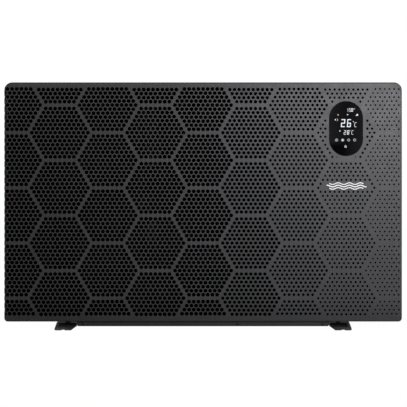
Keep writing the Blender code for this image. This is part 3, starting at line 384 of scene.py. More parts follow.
def shade_front_faces(m, rgb):
    """Painted shade: faces that face the front (-Y) run to the darker rgb, with less sheen."""
    nt = m.node_tree
    p = nt.nodes["Principled BSDF"]
    base = p.inputs["Base Color"].links[0].from_socket
    sep = nt.nodes.new("ShaderNodeSeparateXYZ")
    nt.links.new(nt.nodes.new("ShaderNodeNewGeometry").outputs["Normal"], sep.inputs[0])
    front = remap(nt, sep.outputs["Y"], 1.0, 0.0, -0.9, -0.4)
    nt.links.new(mix(nt, front, base, rgb), p.inputs["Base Color"])
    nt.links.new(remap(nt, sep.outputs["Y"], 0.03, 0.4, -0.9, -0.4), p.inputs["Specular IOR Level"])


# painted shade on the front panel: darker, with less sheen, towards its bottom and top edges
painted_shade_bands(CASE, [(0.80, 0.038, 0.090), (0.925, 0.612, 0.592)])
# painted shade on the feet: their front-facing faces are darkened
shade_front_faces(FOOT, (0.0038, 0.0038, 0.004))
# painted shadow: the base pan's front lip, under the front panel, runs to near black
shade(PAN, -0.228, -0.215, (0.0005, 0.0005, 0.00055))
# painted shade: the coil's fins and tubes run to near black except near the outer face of the rear leg, as the inside
# towards the fan lies in shade
shade(FIN, 0.120, 0.131, (0.0005, 0.0005, 0.0006))
shade(COIL_COPPER, 0.128, 0.142, (0.0010, 0.0009, 0.0009))
PARTITION = galvanised("partition_sheet")
# painted shade on the partition's fan side
shade_fan_side(PARTITION, (0.0025, 0.0025, 0.0027))
GALV, BOARD, GLASS, LIT, LENS = galvanised(), board_green(), display_glass_material(), lit_segment(), clear_lens()


# ------------------------------------------------------------------ mesh helpers
def add(name, me, mat, body="cabinet", replace=(), angle=35, smooth=True):
    ob = bpy.data.objects.new(name, me)
    bpy.context.scene.collection.objects.link(ob)
    mats = list(mat) if isinstance(mat, (list, tuple)) else [mat]
    which = [min(f.material_index, len(mats) - 1) for f in me.polygons]
    me.materials.clear()                              # this also resets every face to the first material
    for one in mats:
        me.materials.append(one)
    me.polygons.foreach_set("material_index", which)
    if smooth:
        me.shade_smooth()
        me.set_sharp_from_angle(angle=math.radians(angle))
    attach(ob, body)
    if replace:
        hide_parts(*([replace] if isinstance(replace, str) else replace))
    return ob


def mesh(name, verts, faces):
    me = bpy.data.meshes.new(name)
    me.from_pydata([tuple(v) for v in verts], [], faces)
    me.update()
    return me


def from_bm(name, bm, recalc=True):
    if recalc:
        bmesh.ops.recalc_face_normals(bm, faces=bm.faces)
    me = bpy.data.meshes.new(name)
    bm.to_mesh(me)
    bm.free()
    return me


def arc(cx, cy, r, a0, a1, n):
    return [(cx + r * math.cos(math.radians(a0 + (a1 - a0) * i / n)),
             cy + r * math.sin(math.radians(a0 + (a1 - a0) * i / n))) for i in range(n + 1)]


def ring_pts(cx, cy, r, n, turn=0.0):
    return [(cx + r * math.cos(2 * math.pi * i / n + turn), cy + r * math.sin(2 * math.pi * i / n + turn)) for i in range(n)]


def stadium(cx, cy, r, height, n=20):
    s = height / 2 - r
    return arc(cx, cy + s, r, 0, 180, n) + arc(cx, cy - s, r, 180, 360, n)


AXES = {"Y": lambda a, b, h: V(a, h, b), "Z": lambda a, b, h: V(a, b, h), "X": lambda a, b, h: V(h, a, b)}


def loft(bm, rings, axis, cap0=True, cap1=True, mat=0):
    """Closed rings of (a, b) points at heights along an axis, joined by quads and capped."""
    at = AXES[axis]
    loops = [[bm.verts.new(at(a, b, h)) for a, b in pts] for pts, h in rings]
    n = len(loops[0])
    for u, w in zip(loops, loops[1:]):
        for i in range(n):
            f = bm.faces.new((u[i], u[(i + 1) % n], w[(i + 1) % n], w[i]))
            f.material_index = mat
    if cap0:
        bm.faces.new(loops[0][::-1]).material_index = mat
    if cap1:
        bm.faces.new(loops[-1]).material_index = mat
    return loops


def filleted(pts, r, closed=False, n=3):
    """Rounds the corners of a 2-D line."""
    if r <= 0:
        return [tuple(p) for p in pts]
    out, m = [], len(pts)
    for i, p in enumerate(pts):
        if not closed and i in (0, m - 1):
            out.append(tuple(p))
            continue
        p = Vector(p[:2])
        u, w = Vector(pts[i - 1]) - p, Vector(pts[(i + 1) % m]) - p
        lu, lw = u.length, w.length
        if lu < 1e-6 or lw < 1e-6:
            out.append(tuple(p))
            continue
        u, w = u / lu, w / lw
        half = u.angle(w) / 2
        if half > math.pi / 2 - 0.12 or half < 0.05:
            out.append(tuple(p))
            continue
        rr = min(r, 0.45 * min(lu, lw) * math.tan(half))
        d = rr / math.tan(half)
        c = p + (u + w).normalized() * (rr / math.sin(half))
        s, e = p + u * d - c, p + w * d - c
        a0 = math.atan2(s.y, s.x)
        da = (math.atan2(e.y, e.x) - a0 + math.pi) % (2 * math.pi) - math.pi
        for k in range(n + 1):
            a = a0 + da * k / n
            out.append((c.x + rr * math.cos(a), c.y + rr * math.sin(a)))
    return out


def lathe(bm, axis, centre, profile, steps=48, fillet=0.5, closed=False, mat=0):
    """Turns (radius, position) points round an axis."""
    pts = filleted(profile, fillet, closed)
    at = AXES[axis]
    rings = []
    for r, h in pts:
        if r < 1e-6:
            rings.append([bm.verts.new(at(centre[0], centre[1], h))])
        else:
            rings.append([bm.verts.new(at(a, b, h)) for a, b in ring_pts(centre[0], centre[1], r, steps)])
    pairs = list(zip(rings, rings[1:])) + ([(rings[-1], rings[0])] if closed else [])
    for u, w in pairs:
        for i in range(steps):
            j = (i + 1) % steps
            quad = [u[i % len(u)], u[j % len(u)], w[j % len(w)], w[i % len(w)]]
            face = list(dict.fromkeys(quad))
            if len(face) > 2:
                bm.faces.new(face).material_index = mat
    return bm


def rounded_path(points, radius, n=8):
    pts = [Vector(p) for p in points]
    if radius <= 0:
        return pts
    out = [pts[0]]
    for a, b, c in zip(pts, pts[1:], pts[2:]):
        u, w = (a - b).normalized(), (c - b).normalized()
        half = u.angle(w) / 2
        if half > math.pi / 2 - 0.02:
            out.append(b)
            continue
        r = min(radius, 0.49 * min((a - b).length, (c - b).length) * math.tan(half))
        d = r / math.tan(half)
        centre = b + (u + w).normalized() * (r / math.sin(half))
        s, e = b + u * d - centre, b + w * d - centre
        for i in range(n + 1):
            out.append(centre + s.slerp(e, i / n) * s.length)
    out.append(pts[-1])
    return out


def tube(bm, points, r, sides=16, bend=18, n=8, mat=0, rings_extra=()):
    """A round tube along a centre line (mm), with a turned frame so that it doesn't twist."""
    path = rounded_path(points, bend, n)
    tang = []
    for i in range(len(path)):
        t = (path[min(i + 1, len(path) - 1)] - path[max(i - 1, 0)]).normalized()
        tang.append(t)
    ref = Vector((0, 0, 1)) if abs(tang[0].z) < 0.9 else Vector((1, 0, 0))
    nrm = (ref - tang[0] * ref.dot(tang[0])).normalized()
    loops = []
    for p, t in zip(path, tang):
        nrm = (nrm - t * nrm.dot(t)).normalized()
        b = t.cross(nrm)
        loops.append([bm.verts.new(V(*(p + (nrm * math.cos(a) + b * math.sin(a)) * r)))
                      for a in (2 * math.pi * k / sides for k in range(sides))])
    for u, w in zip(loops, loops[1:]):
        for i in range(sides):
            bm.faces.new((u[i], u[(i + 1) % sides], w[(i + 1) % sides], w[i])).material_index = mat
    bm.faces.new(loops[0][::-1]).material_index = mat
    bm.faces.new(loops[-1]).material_index = mat
    return bm


def left_offset(loop, d):
    """Moves a closed loop to its left by d, with mitred corners."""
    out, n = [], len(loop)
    for i in range(n):
        a, b, c = Vector(loop[i - 1]), Vector(loop[i]), Vector(loop[(i + 1) % n])
        e0, e1 = (b - a).normalized(), (c - b).normalized()
        n0, n1 = Vector((-e0.y, e0.x)), Vector((-e1.y, e1.x))
        m = n0 + n1
        k = m.dot(n0)
        m = m / k if k > 0.3 else n0
        out.append(tuple(b + m * d))
    return out


def signed(loop):
    return sum(a[0] * b[1] - b[0] * a[1] for a, b in zip(loop, list(loop[1:]) + [loop[0]]))


def enclosed(x, y, loop):
    """Whether a point lies inside a closed outline."""
    inside = False
    x0, y0 = loop[-1]
    for x1, y1 in loop:
        if (y0 > y) != (y1 > y) and x < x0 + (y - y0) / (y1 - y0) * (x1 - x0):
            inside = not inside
        x0, y0 = x1, y1
    return inside


def plate(bm, axis, loops, span, bevel=0.3, seg=2, mat=0):
    """A flat outline with holes, between two positions along an axis, its edges rounded."""
    at = AXES[axis]
    outer, holes = list(loops[0]), [list(h) for h in loops[1:]]
    if signed(outer) < 0:
        outer.reverse()
    for h in holes:
        if signed(h) > 0:
            h.reverse()
    every = [outer] + holes
    h0, h1 = span
    levels = [(bevel * (1 - math.sin(a)), h0 + bevel * (1 - math.cos(a)) )
              for a in (math.pi / 2 * k / seg for k in range(seg + 1))] if bevel else [(0, h0)]
    levels = levels + [(d, h1 - (h - h0)) for d, h in reversed(levels)]
    for loop in every:
        rings = []
        for d, h in levels:
            pts = left_offset(loop, d) if d > 1e-6 else loop
            rings.append([bm.verts.new(at(a, b, h)) for a, b in pts])
        n = len(loop)
        for u, w in zip(rings, rings[1:]):
            for i in range(n):
                bm.faces.new((u[i], u[(i + 1) % n], w[(i + 1) % n], w[i])).material_index = mat
    verts, edges, gaps = [], [], []
    for k, loop in enumerate(every):
        pts = left_offset(loop, bevel) if bevel else loop
        b0, n = len(verts), len(pts)
        verts += [Vector(p) for p in pts]
        edges += [(b0 + i, b0 + (i + 1) % n) for i in range(n)]
        if k:
            gaps.append([(q[0], q[1]) for q in pts])
    co, _, tris, *_ = delaunay_2d_cdt(verts, edges, [], 1, 1e-5, False)
    tris = [t for t in tris if not any(enclosed(sum(co[i].x for i in t) / 3, sum(co[i].y for i in t) / 3, g) for g in gaps)]
    for h, turn in ((h0, 1), (h1, -1)):
        vs = [bm.verts.new(at(v.x, v.y, h)) for v in co]
        for t in tris:
            bm.faces.new([vs[i] for i in t][::turn]).material_index = mat
    return bm


def rounded_rect(x0, x1, y0, y1, r, n=5):
    return (arc(x1 - r, y1 - r, r, 0, 90, n) + arc(x0 + r, y1 - r, r, 90, 180, n)
            + arc(x0 + r, y0 + r, r, 180, 270, n) + arc(x1 - r, y0 + r, r, 270, 360, n))


def block(bm, x, y, z, r=1.0, mat=0, n=3):
    """A box with rounded edges: rounded outline and rounded top and bottom."""
    h = [(r * (1 - math.sin(a)), z[0] + r * (1 - math.cos(a))) for a in (math.pi / 2 * k / n for k in range(n + 1))]
    h = h + [(d, z[1] - (v - z[0])) for d, v in reversed(h)]
    corner = r
    rings = []
    for d, v in h:
        rr = max(corner - d, 0.05)
        rings.append((rounded_rect(x[0] + d, x[1] - d, y[0] + d, y[1] - d, rr, n), v))
    loft(bm, rings, "Z", mat=mat)
    return bm


def sheet(bm, axis, section, span, thick, side=1, steps=1, mat=0):
    """Folded sheet metal: a section line given a thickness to its left (side 1), right (-1) or both (0), run along an axis."""
    at = {"X": lambda u, v, w: V(w, u, v), "Y": lambda u, v, w: V(u, w, v), "Z": lambda u, v, w: V(u, v, w)}[axis]
    n = len(section)
    nrm = []
    for i in range(n):
        a, b, c = Vector(section[max(i - 1, 0)]), Vector(section[i]), Vector(section[min(i + 1, n - 1)])
        e0 = (b - a).normalized() if i else (c - b).normalized()
        e1 = (c - b).normalized() if i < n - 1 else e0
        n0, n1 = Vector((-e0.y, e0.x)), Vector((-e1.y, e1.x))
        m = n0 + n1
        k = m.dot(n0)
        nrm.append(m / k if k > 0.3 else n0)
    lo = {1: 0.0, -1: -thick, 0: -thick / 2}[side]
    hi = lo + thick
    e = min(0.3, thick / 4)                       # eased edges
    cuts = [(span[0], e), (span[0] + e, 0.0)] + [(span[0] + (span[1] - span[0]) * k / steps, 0.0) for k in range(1, steps)] + [(span[1] - e, 0.0), (span[1], e)]
    rings = []
    for w, inset in cuts:
        ring = [at(*(Vector(p) + m * (lo + inset)), w) for p, m in zip(section, nrm)]
        ring += [at(*(Vector(p) + m * (hi - inset)), w) for p, m in reversed(list(zip(section, nrm)))]
        rings.append([bm.verts.new(v) for v in ring])
    for u, w in zip(rings, rings[1:]):
        for i in range(2 * n):
            bm.faces.new((u[i], u[(i + 1) % (2 * n)], w[(i + 1) % (2 * n)], w[i])).material_index = mat
    for ring in (rings[0], rings[-1]):
        for i in range(n - 1):
            bm.faces.new((ring[i], ring[i + 1], ring[2 * n - 2 - i], ring[2 * n - 1 - i])).material_index = mat
    return bm


def shell(outer, inner, faces):
    """A sheet from matching outer and inner points: both skins, and the rim between them."""
    n = len(outer)
    fs = [tuple(f) for f in faces] + [tuple(v + n for v in reversed(f)) for f in faces]
    used = set()
    for f in faces:
        for a, b in zip(f, list(f[1:]) + [f[0]]):
            used.add((a, b))
    for a, b in used:
        if (b, a) not in used:
            fs.append((b, a, a + n, b + n))
    bm = bmesh.new()
    vs = [bm.verts.new(v) for v in list(outer) + list(inner)]
    for f in fs:
        bm.faces.new([vs[i] for i in f])
    return bm


def to_object(bm):
    bmesh.ops.remove_doubles(bm, verts=bm.verts, dist=1e-6)
    bmesh.ops.recalc_face_normals(bm, faces=bm.faces)
    me = bpy.data.meshes.new("tmp")
    bm.to_mesh(me)
    bm.free()
    ob = bpy.data.objects.new("tmp", me)
    bpy.context.scene.collection.objects.link(ob)
    return ob


def cut(bm, *cutters):
    """Boolean difference of closed meshes."""
    ob = to_object(bm)
    others = [to_object(c) for c in cutters]
    for o in others:
        m = ob.modifiers.new("cut", "BOOLEAN")
        m.operation, m.solver, m.object = "DIFFERENCE", "EXACT", o
    bpy.context.view_layer.update()
    me = bpy.data.meshes.new_from_object(ob.evaluated_get(bpy.context.evaluated_depsgraph_get()))
    out = bmesh.new()
    out.from_mesh(me)
    for o in [ob] + others:
        bpy.data.objects.remove(o, do_unlink=True)
    bpy.data.meshes.remove(me)
    return out


def piece(name, bm, mat, body="cabinet", replace=None, angle=35, weld=True):
    if weld:
        bmesh.ops.remove_doubles(bm, verts=bm.verts, dist=1e-6)
    me = from_bm(name, bm)
    if replace is None:
        replace, name = name, name + "_look"
    return add(name, me, mat, body, replace, angle)


def refined(node, mat, body="cabinet", bevel=0.4, angle=28, seg=2):
    """The node's own shape with rounded edges."""
    bm = bmesh.new()
    bm.from_mesh(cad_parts[node].data)
    bmesh.ops.remove_doubles(bm, verts=bm.verts, dist=2e-6)
    bmesh.ops.dissolve_limit(bm, angle_limit=math.radians(1.0), verts=bm.verts, edges=bm.edges)
    edges = [e for e in bm.edges if len(e.link_faces) == 2 and e.calc_face_angle(0) > math.radians(angle)]
    if bevel:
        bmesh.ops.bevel(bm, geom=edges, offset=bevel / 1000, segments=seg, profile=0.5, affect="EDGES", clamp_overlap=True)
    return piece(node, bm, mat, body, None, 40, weld=False)


# ------------------------------------------------------------------ front panel with real holes
BEND = 4.0
T = 1.2


def panel_outline(d, nt=10, nb=7):
    """The flat part's outline (4 mm inside the case outline), offset outwards by d."""
    rt, rb = 16 + d, 5 + d
    return (arc(480, 603.6, rt, 0, 90, nt) + arc(-480, 603.6, rt, 90, 180, nt)
            + arc(-491, 31, rb, 180, 270, nb) + arc(491, 31, rb, 270, 360, nb))


HEX_PITCH_X, HEX_PITCH_Z, HOLE_PITCH, ROW_PITCH = 120.0, 138.63, 11.75, 10.10
HOLE_D = [9.26] * 5 + [8.13, 6.87, 5.69, 4.56]
HOLE_SIDES = [11] * 5 + [10, 10, 8, 8]
PUNCH_D = [9.80] * 5 + [8.62, 7.17, 5.98, 4.62]      # with the small lead-in at the rim


def display_gap(x, z):
    dz = max(abs(z - DISPLAY_Z) - (DISPLAY_H / 2 - DISPLAY_R), 0)
    return math.hypot(x - DISPLAY_X, dz) - DISPLAY_R


def hole_list():
    """Hexagonal fields of 127 holes each, in staggered columns, smaller holes towards the right."""
    out = []
    for j in range(9):
        xc = -480 + HEX_PITCH_X * j
        for k in range(6):
            zc = 11.8 + HEX_PITCH_Z * k + (HEX_PITCH_Z / 2 if j % 2 else 0)
            for row in range(-6, 7):
                n = 13 - abs(row)
                z = zc + row * ROW_PITCH
                for i in range(n):
                    x = xc + (i - (n - 1) / 2) * HOLE_PITCH
                    r = HOLE_D[j] / 2
                    if not 36.3 < z < 611.0 or x > 494.3:
                        continue
                    if x < -492 - r and not 36.3 < z < 601:
                        continue
                    if x < -519.0 + r:
                        continue
                    if display_gap(x, z) < 8.3:
                        if j == 7 and abs(z - 436.5) < 4 and 20 < abs(x - DISPLAY_X) < 32:
                            out.append((x, z - 0.4, 1.5, j))
                        continue
                    # plain field left for the mark
                    if j == 7 and abs(zc - 358.4) < 3 and row in (0, 1) and 0 < i < n - 1:
                        continue
                    out.append((x, z, r, j))
    return out


HOLES = hole_list()


def fold(p, depth):
    """A point of the developed sheet, folded to the tray shape, at a depth below the outer face (mm)."""
    x, z = p
    cx = min(max(x, -480.0 if z > 300 else -491.0), 480.0 if z > 300 else 491.0)
    cz = min(max(z, 31.0), 603.6)
    rad = 16.0 if z > 300 else 5.0
    dx, dz = x - cx, z - cz
    L = math.hypot(dx, dz)
    d = L - rad
    if d <= 1e-6 or L < 1e-9:
        return V(x, FACE + depth, z)
    nx, nz = dx / L, dz / L
    bx, bz = cx + nx * rad, cz + nz * rad
    quarter = BEND * math.pi / 2
    if d <= quarter:
        a = d / BEND
        r = BEND - depth
        return V(bx + nx * r * math.sin(a), FACE + BEND - r * math.cos(a), bz + nz * r * math.sin(a))
    return V(bx + nx * (BEND - depth), FACE + BEND + (d - quarter), bz + nz * (BEND - depth))


def punch(r, j):
    """Corner radius of the polygon whose area is that of the round punch."""
    n = HOLE_SIDES[j]
    return r / HOLE_D[j] * PUNCH_D[j] / math.sqrt(n / (2 * math.pi) * math.sin(2 * math.pi / n))


def front_panel():
    verts, edges = [], []

    def loop(pts):
        b, n = len(verts), len(pts)
        verts.extend(Vector(q) for q in pts)
        edges.extend((b + i, b + (i + 1) % n) for i in range(n))

    quarter = BEND * math.pi / 2
    for d in [quarter * i / 6 for i in range(7)] + [quarter + 26.0]:
        loop(panel_outline(d))
    for x, z, r, j in HOLES:
        loop(ring_pts(x, z, punch(r, j), HOLE_SIDES[j], 0.3))
    loop(stadium(DISPLAY_X, DISPLAY_Z, DISPLAY_R + 0.4, DISPLAY_H + 0.8, 24))
    co, _, tris, *_ = delaunay_2d_cdt(verts, edges, [], 1, 1e-4, False)
    co = np.array([(v.x, v.y) for v in co])
    tris = np.array([t for t in tris if len(t) == 3], int)
    cen = co[tris].mean(axis=1)
    # drop the triangles inside holes
    holes = np.array([(x, z, punch(r, j) * math.cos(math.pi / HOLE_SIDES[j])) for x, z, r, j in HOLES])
    cell = 12.0
    grid = {}
    for i, (x, z, r) in enumerate(holes):
        for gx in range(int((x - r) // cell), int((x + r) // cell) + 1):
            for gz in range(int((z - r) // cell), int((z + r) // cell) + 1):
                grid.setdefault((gx, gz), []).append(i)
    keep = np.ones(len(tris), bool)
    for i, (x, z) in enumerate(cen):
        if display_gap(x, z) < 0.2:
            keep[i] = False
            continue
        for h in grid.get((int(x // cell), int(z // cell)), ()):
            if math.hypot(x - holes[h, 0], z - holes[h, 1]) < holes[h, 2]:
                keep[i] = False
                break
    tris = tris[keep]
    used = np.unique(tris)
    remap_id = -np.ones(len(co), int)
    remap_id[used] = np.arange(len(used))
    co, tris = co[used], remap_id[tris]
    n = len(co)
    area = ((co[tris[:, 1], 0] - co[tris[:, 0], 0]) * (co[tris[:, 2], 1] - co[tris[:, 0], 1])
            - (co[tris[:, 1], 1] - co[tris[:, 0], 1]) * (co[tris[:, 2], 0] - co[tris[:, 0], 0]))
    tris = np.where(area[:, None] > 0, tris, tris[:, ::-1])
    tris = tris[np.abs(area) > 1e-7]
    out = [fold(p, 0.0) for p in co] + [fold(p, T) for p in co]
    # seen from -Y with +X to the right, anticlockwise triangles already face the viewer
    faces = [tuple(int(v) for v in t) for t in tris] + [tuple(int(v) + n for v in t[::-1]) for t in tris]
    half = {}
    for t in tris:
        for a, b in ((t[0], t[1]), (t[1], t[2]), (t[2], t[0])):
            half[(int(a), int(b))] = True
    for a, b in half:
        if (b, a) not in half:
            faces.append((b, a, a + n, b + n))
    me = mesh("front_panel_perforated", out, faces)
    # a plain flat map, so that the sheet, its back and the thin hole walls share one layout
    uv = me.uv_layers.new(name="OFBake")
    idx = np.empty(len(me.loops), np.int32)
    me.loops.foreach_get("vertex_index", idx)
    flat = np.concatenate([co, co])
    back = idx >= n
    u = (flat[idx, 0] + 530) / 1060 * 0.98 + 0.01
    v = (flat[idx, 1] + 15) / 680 * 0.49 + 0.005 + np.where(back, 0.5, 0.0)
    uv.data.foreach_set("uv", np.stack([u, v], 1).astype(np.float32).ravel())
    return add("front_panel_perforated", me, CASE, "cabinet", "front_panel", 30)


front_panel()

# ------------------------------------------------------------------ casing
def top_cover():
    def section(inset, y, n=14):
        r = 20 - inset
        pts = [(-H + inset, 585)] + arc(-H + 20, Z_TOP - 20, r, 180, 90, n) + arc(H - 20, Z_TOP - 20, r, 90, 0, n) + [(H - inset, 585)]
        return [V(x, y, z) for x, z in pts]

    outer, inner = [], []
    for inset, y in [(0, -179), (0, -60), (0, 60), (0, 207)] + [(3 * (1 - math.cos(a)), 207 + 3 * math.sin(a)) for a in (0.39, 0.79, 1.18, math.pi / 2)]:
        outer += section(inset, y)
        inner += section(inset * 0.6 + T, min(y, 207 + (y - 207) * 0.6))
    n = len(outer) // 8
    faces = [(k * n + i, k * n + i + 1, (k + 1) * n + i + 1, (k + 1) * n + i) for k in range(7) for i in range(n - 1)]
    faces.append(tuple(range(7 * n, 8 * n)))
    bm = shell(outer, inner, faces)
    piece("top_cover", bm, CASE_SIDE, angle=30)


SCREWS = []          # (x, y, z, facing, body) of the small casing screws


def side_panels():
    for side, node, body in ((-1, "left_side_panel", "cabinet"), (1, "right_side_panel", "service_panel")):
        bm = bmesh.new()
        line = arc(side * (H - 9), Z_BOT + 9, 9, 0 if side > 0 else 180, -90 if side > 0 else 270, 12) + [(side * (H - 24), Z_BOT)]
        sheet(bm, "Y", line, (-179, 184.4), T, side=-side)
        holes = []
        if side > 0:
            holes = [rounded_rect(-92, 12, 512, 562, 5), rounded_rect(40, 150, 478, 572, 3)]
        spots = [(172, 60), (172, 310), (172, 548), (-168, 60), (-168, 548)]
        holes += [ring_pts(y, z, 4.4, 20) for y, z in spots]
        x0, x1 = sorted((side * H, side * (H - T)))
        plate(bm, "X", [[(-179, 31), (184.4, 31), (184.4, 584), (-179, 584)]] + holes, (x0, x1), 0.25, 1)
        lap = sorted((side * (H - T - 0.2), side * (H - 2 * T - 0.2)))
        plate(bm, "X", [[(-176, 574), (183, 574), (183, 590), (-176, 590)]], lap, 0.25, 1)
        if side < 0:                                   # tongue inside the front panel's return
            plate(bm, "X", [[(-205.5, 34), (-174, 34), (-174, 584), (-205.5, 584)]], lap, 0.25, 1)
        else:                                          # stepped rebate behind the terminal hatch
            rim = rounded_rect(34, 156, 472, 578, 5)
            plate(bm, "X", [rim, rounded_rect(40, 150, 478, 572, 3)], (496.6, 498.9), 0.2, 1)
            plate(bm, "X", [rim, rounded_rect(44, 146, 482, 568, 3)], (495.4, 496.8), 0.2, 1)
        piece(node, bm, CASE_SIDE, body, angle=30)
        for y, z in spots:
            SCREWS.append((side * (H - 0.2), y, z, (side, 0, 0), body))


def rear_skin():
    bm = bmesh.new()
    sheet(bm, "Z", [(-H, 185)] + arc(-H + 8, 202, 8, 180, 90, 10) + [(-461, 210)], (Z_BOT, 584), T, side=-1)
    piece("corner_post", bm, CASE_SIDE, angle=30)
    bm = bmesh.new()
    sheet(bm, "Z", arc(H - 8, 202, 8, 90, 0, 10) + [(H, 185)], (Z_BOT, 584), T, side=-1)
    holes = [ring_pts(400, 120, 34, 64), ring_pts(400, 400, 34, 64), ring_pts(300, 470, 27.5, 48), ring_pts(215, 150, 8.5, 24)]
    plate(bm, "Y", [[(151, 22), (492, 22), (492, 584), (151, 584)]] + holes, (208.8, 210), 0.25, 1)
    # pressed collars round the water ports
    for z in (120, 400):
        lathe(bm, "Y", (400, z), [(46, 209.6), (47.5, 210.9), (50.5, 210.9), (52, 209.6)], 72, 0.6, closed=True)
    piece("rear_panel", bm, CASE_SIDE, angle=30)
    for x, z in ((165, 40), (165, 300), (165, 566), (484, 40), (484, 260), (484, 566), (330, 566), (-481, 40), (-481, 300), (-481, 566)):
        SCREWS.append((x, 210.0, z, (0, 1, 0), "cabinet"))
    for x in (-400, -140, 120, 400):
        SCREWS.append((x, 210.0, 597, (0, 1, 0), "cabinet"))


def rear_grille():
    """Wire guard: a flat rim, stout wires on the main pitch and fine wires between."""
    bm = bmesh.new()
    x0, x1, z0, z1, edge = -460.0, 150.0, 24.0, 584.0, 12.0
    plate(bm, "Y", [[(x0, z0), (x1, z0), (x1, z1), (x0, z1)],
                    [(x0 + edge, z0 + edge), (x1 - edge, z0 + edge), (x1 - edge, z1 - edge), (x0 + edge, z1 - edge)]], (206, 209), 0.6, 2)
    wx, wz = (x1 - x0 - 24) / 9, (z1 - z0 - 24) / 7
    for i in range(9 * 5 - 1):
        x = x0 + 12 + (i + 1) * wx / 5
        r = 1.45 if (i + 1) % 5 == 0 else 0.9
        tube(bm, [(x, 207.2, z0 + 8), (x, 207.2, z1 - 8)], r, 8, 0)
    for k in range(7 * 2 - 1):
        z = z0 + 12 + (k + 1) * wz / 2
        r = 1.45 if (k + 1) % 2 == 0 else 0.9
        tube(bm, [(x0 + 8, 207.8, z), (x1 - 8, 207.8, z)], r - 0.3, 8, 0)
    piece("rear_grille", bm, BLACK, angle=50, weld=False)


top_cover()
side_panels()
rear_skin()
rear_grille()


# ------------------------------------------------------------------ base, feet, rail, screws
def foot_parts():
    refined("base_pan", PAN, bevel=0.8)
    for side, node in ((-1, "foot_left"), (1, "foot_right")):
        xs = [side * v for v in (346.0, 366.8, 373.8, 332.8, 317.7, 317.7, 334.0)]
        line = filleted(list(zip(xs, (20.4, 20.4, 1.0, 1.0, 11.9, 20.4, 20.4))), 2.2, n=4)
        bm = sheet(bmesh.new(), "Y", line, (-208, 208), 2.0, side=0, steps=4)
        tools = []
        for end in (-1, 1):
            t = bmesh.new()
            mid = side * 352.5
            pts = arc(mid, end * 196, 4.5, 180 if end > 0 else 0, 360 if end > 0 else 180, 16)
            pts += [(pts[-1][0], end * 216), (pts[0][0], end * 216)]
            loft(t, [(pts, -2), (pts, 5)], "Z")
            tools.append(t)
        piece(node, cut(bm, *tools), FOOT, angle=30)
    line = filleted([(-178.0, 20.6), (-203.5, 20.6), (-203.5, 10.9), (-178.0, 10.9)], 0.8, n=4)
    piece("front_rail", sheet(bmesh.new(), "X", line, (-315.5, 315.5), 1.6, side=0, steps=6), RAIL_SHADED, angle=30)


def screw_shape(r=3.7, h=2.1, shank=9.0):
    """Pan head with a cross recess, head towards +Z at the origin's plane."""
    bm = bmesh.new()
    lathe(bm, "Z", (0, 0), [(0, h), (r * 0.45, h * 0.95), (r * 0.92, h * 0.5), (r, 0.1), (r * 0.95, 0), (r * 0.5, 0), (r * 0.5, -shank), (0, -shank - 0.8)], 28, 0.15)
    for v in bm.verts:
        v.co.y -= Y0
    arm, wide, deep = r * 0.52, r * 0.15, h * 0.75
    t = []
    for a in (0, 1):
        c = bmesh.new()
        x, y = (arm, wide) if a == 0 else (wide, arm)
        vs = [c.verts.new(Vector(q) / 1000) for q in ((-x, -y, h + 1), (x, -y, h + 1), (x, y, h + 1), (-x, y, h + 1),
                                                      (-x * 0.6, -y * 0.6, h - deep), (x * 0.6, -y * 0.6, h - deep), (x * 0.6, y * 0.6, h - deep), (-x * 0.6, y * 0.6, h - deep))]
        for f in ((0, 1, 2, 3), (7, 6, 5, 4), (0, 4, 5, 1), (1, 5, 6, 2), (2, 6, 7, 3), (3, 7, 4, 0)):
            c.faces.new([vs[i] for i in f])
        t.append(c)
    out = cut(bm, *t)
    me = bpy.data.meshes.new("screw_master")
    out.to_mesh(me)
    out.free()
    return me


def put_mesh(bm, master, at, facing, spin=0.0):
    turn = Vector(facing).to_track_quat("Z", "Y").to_matrix().to_4x4() @ Matrix.Rotation(spin, 4, "Z")
    start = len(bm.verts)
    bm.from_mesh(master)
    bm.verts.ensure_lookup_table()
    bmesh.ops.transform(bm, matrix=Matrix.Translation(V(*at)) @ turn, verts=bm.verts[start:])


def screws():
    big = screw_shape()
    for x, node in ((-301, "rail_screw_left"), (87, "rail_screw_middle"), (300, "rail_screw_right")):
        bm = bmesh.new()
        put_mesh(bm, big, (x, -204.7, 16.0), (0, -1, 0), 0.4 + x * 0.01)
        piece(node, bm, BLACK_SCREW, angle=40, weld=False)
    small = screw_shape(3.5, 1.9, 1.6)
    sunk = screw_shape(3.7, 1.5, 1.6)
    for body in ("cabinet", "service_panel"):
        bm = bmesh.new()
        for i, (x, y, z, facing, own) in enumerate(SCREWS):
            if own != body:
                continue
            if facing[0]:
                put_mesh(bm, sunk, (x - facing[0] * 1.6, y, z), facing, i * 0.7)
            else:
                put_mesh(bm, small, (x, y, z), facing, i * 0.7)
        piece("casing_screws_" + body, bm, STEEL, body, (), 40, weld=False)


foot_parts()
screws()


# ------------------------------------------------------------------ display
def stadium_rings(bm, grow, levels, cx=DISPLAY_X, cz=DISPLAY_Z, r=DISPLAY_R, h=DISPLAY_H, n=48, mat=0, cap0=True, cap1=True):
    return loft(bm, [(stadium(cx, cz, r + grow - d, h + 2 * (grow - d), n), y) for d, y in levels], "Y", cap0, cap1, mat)


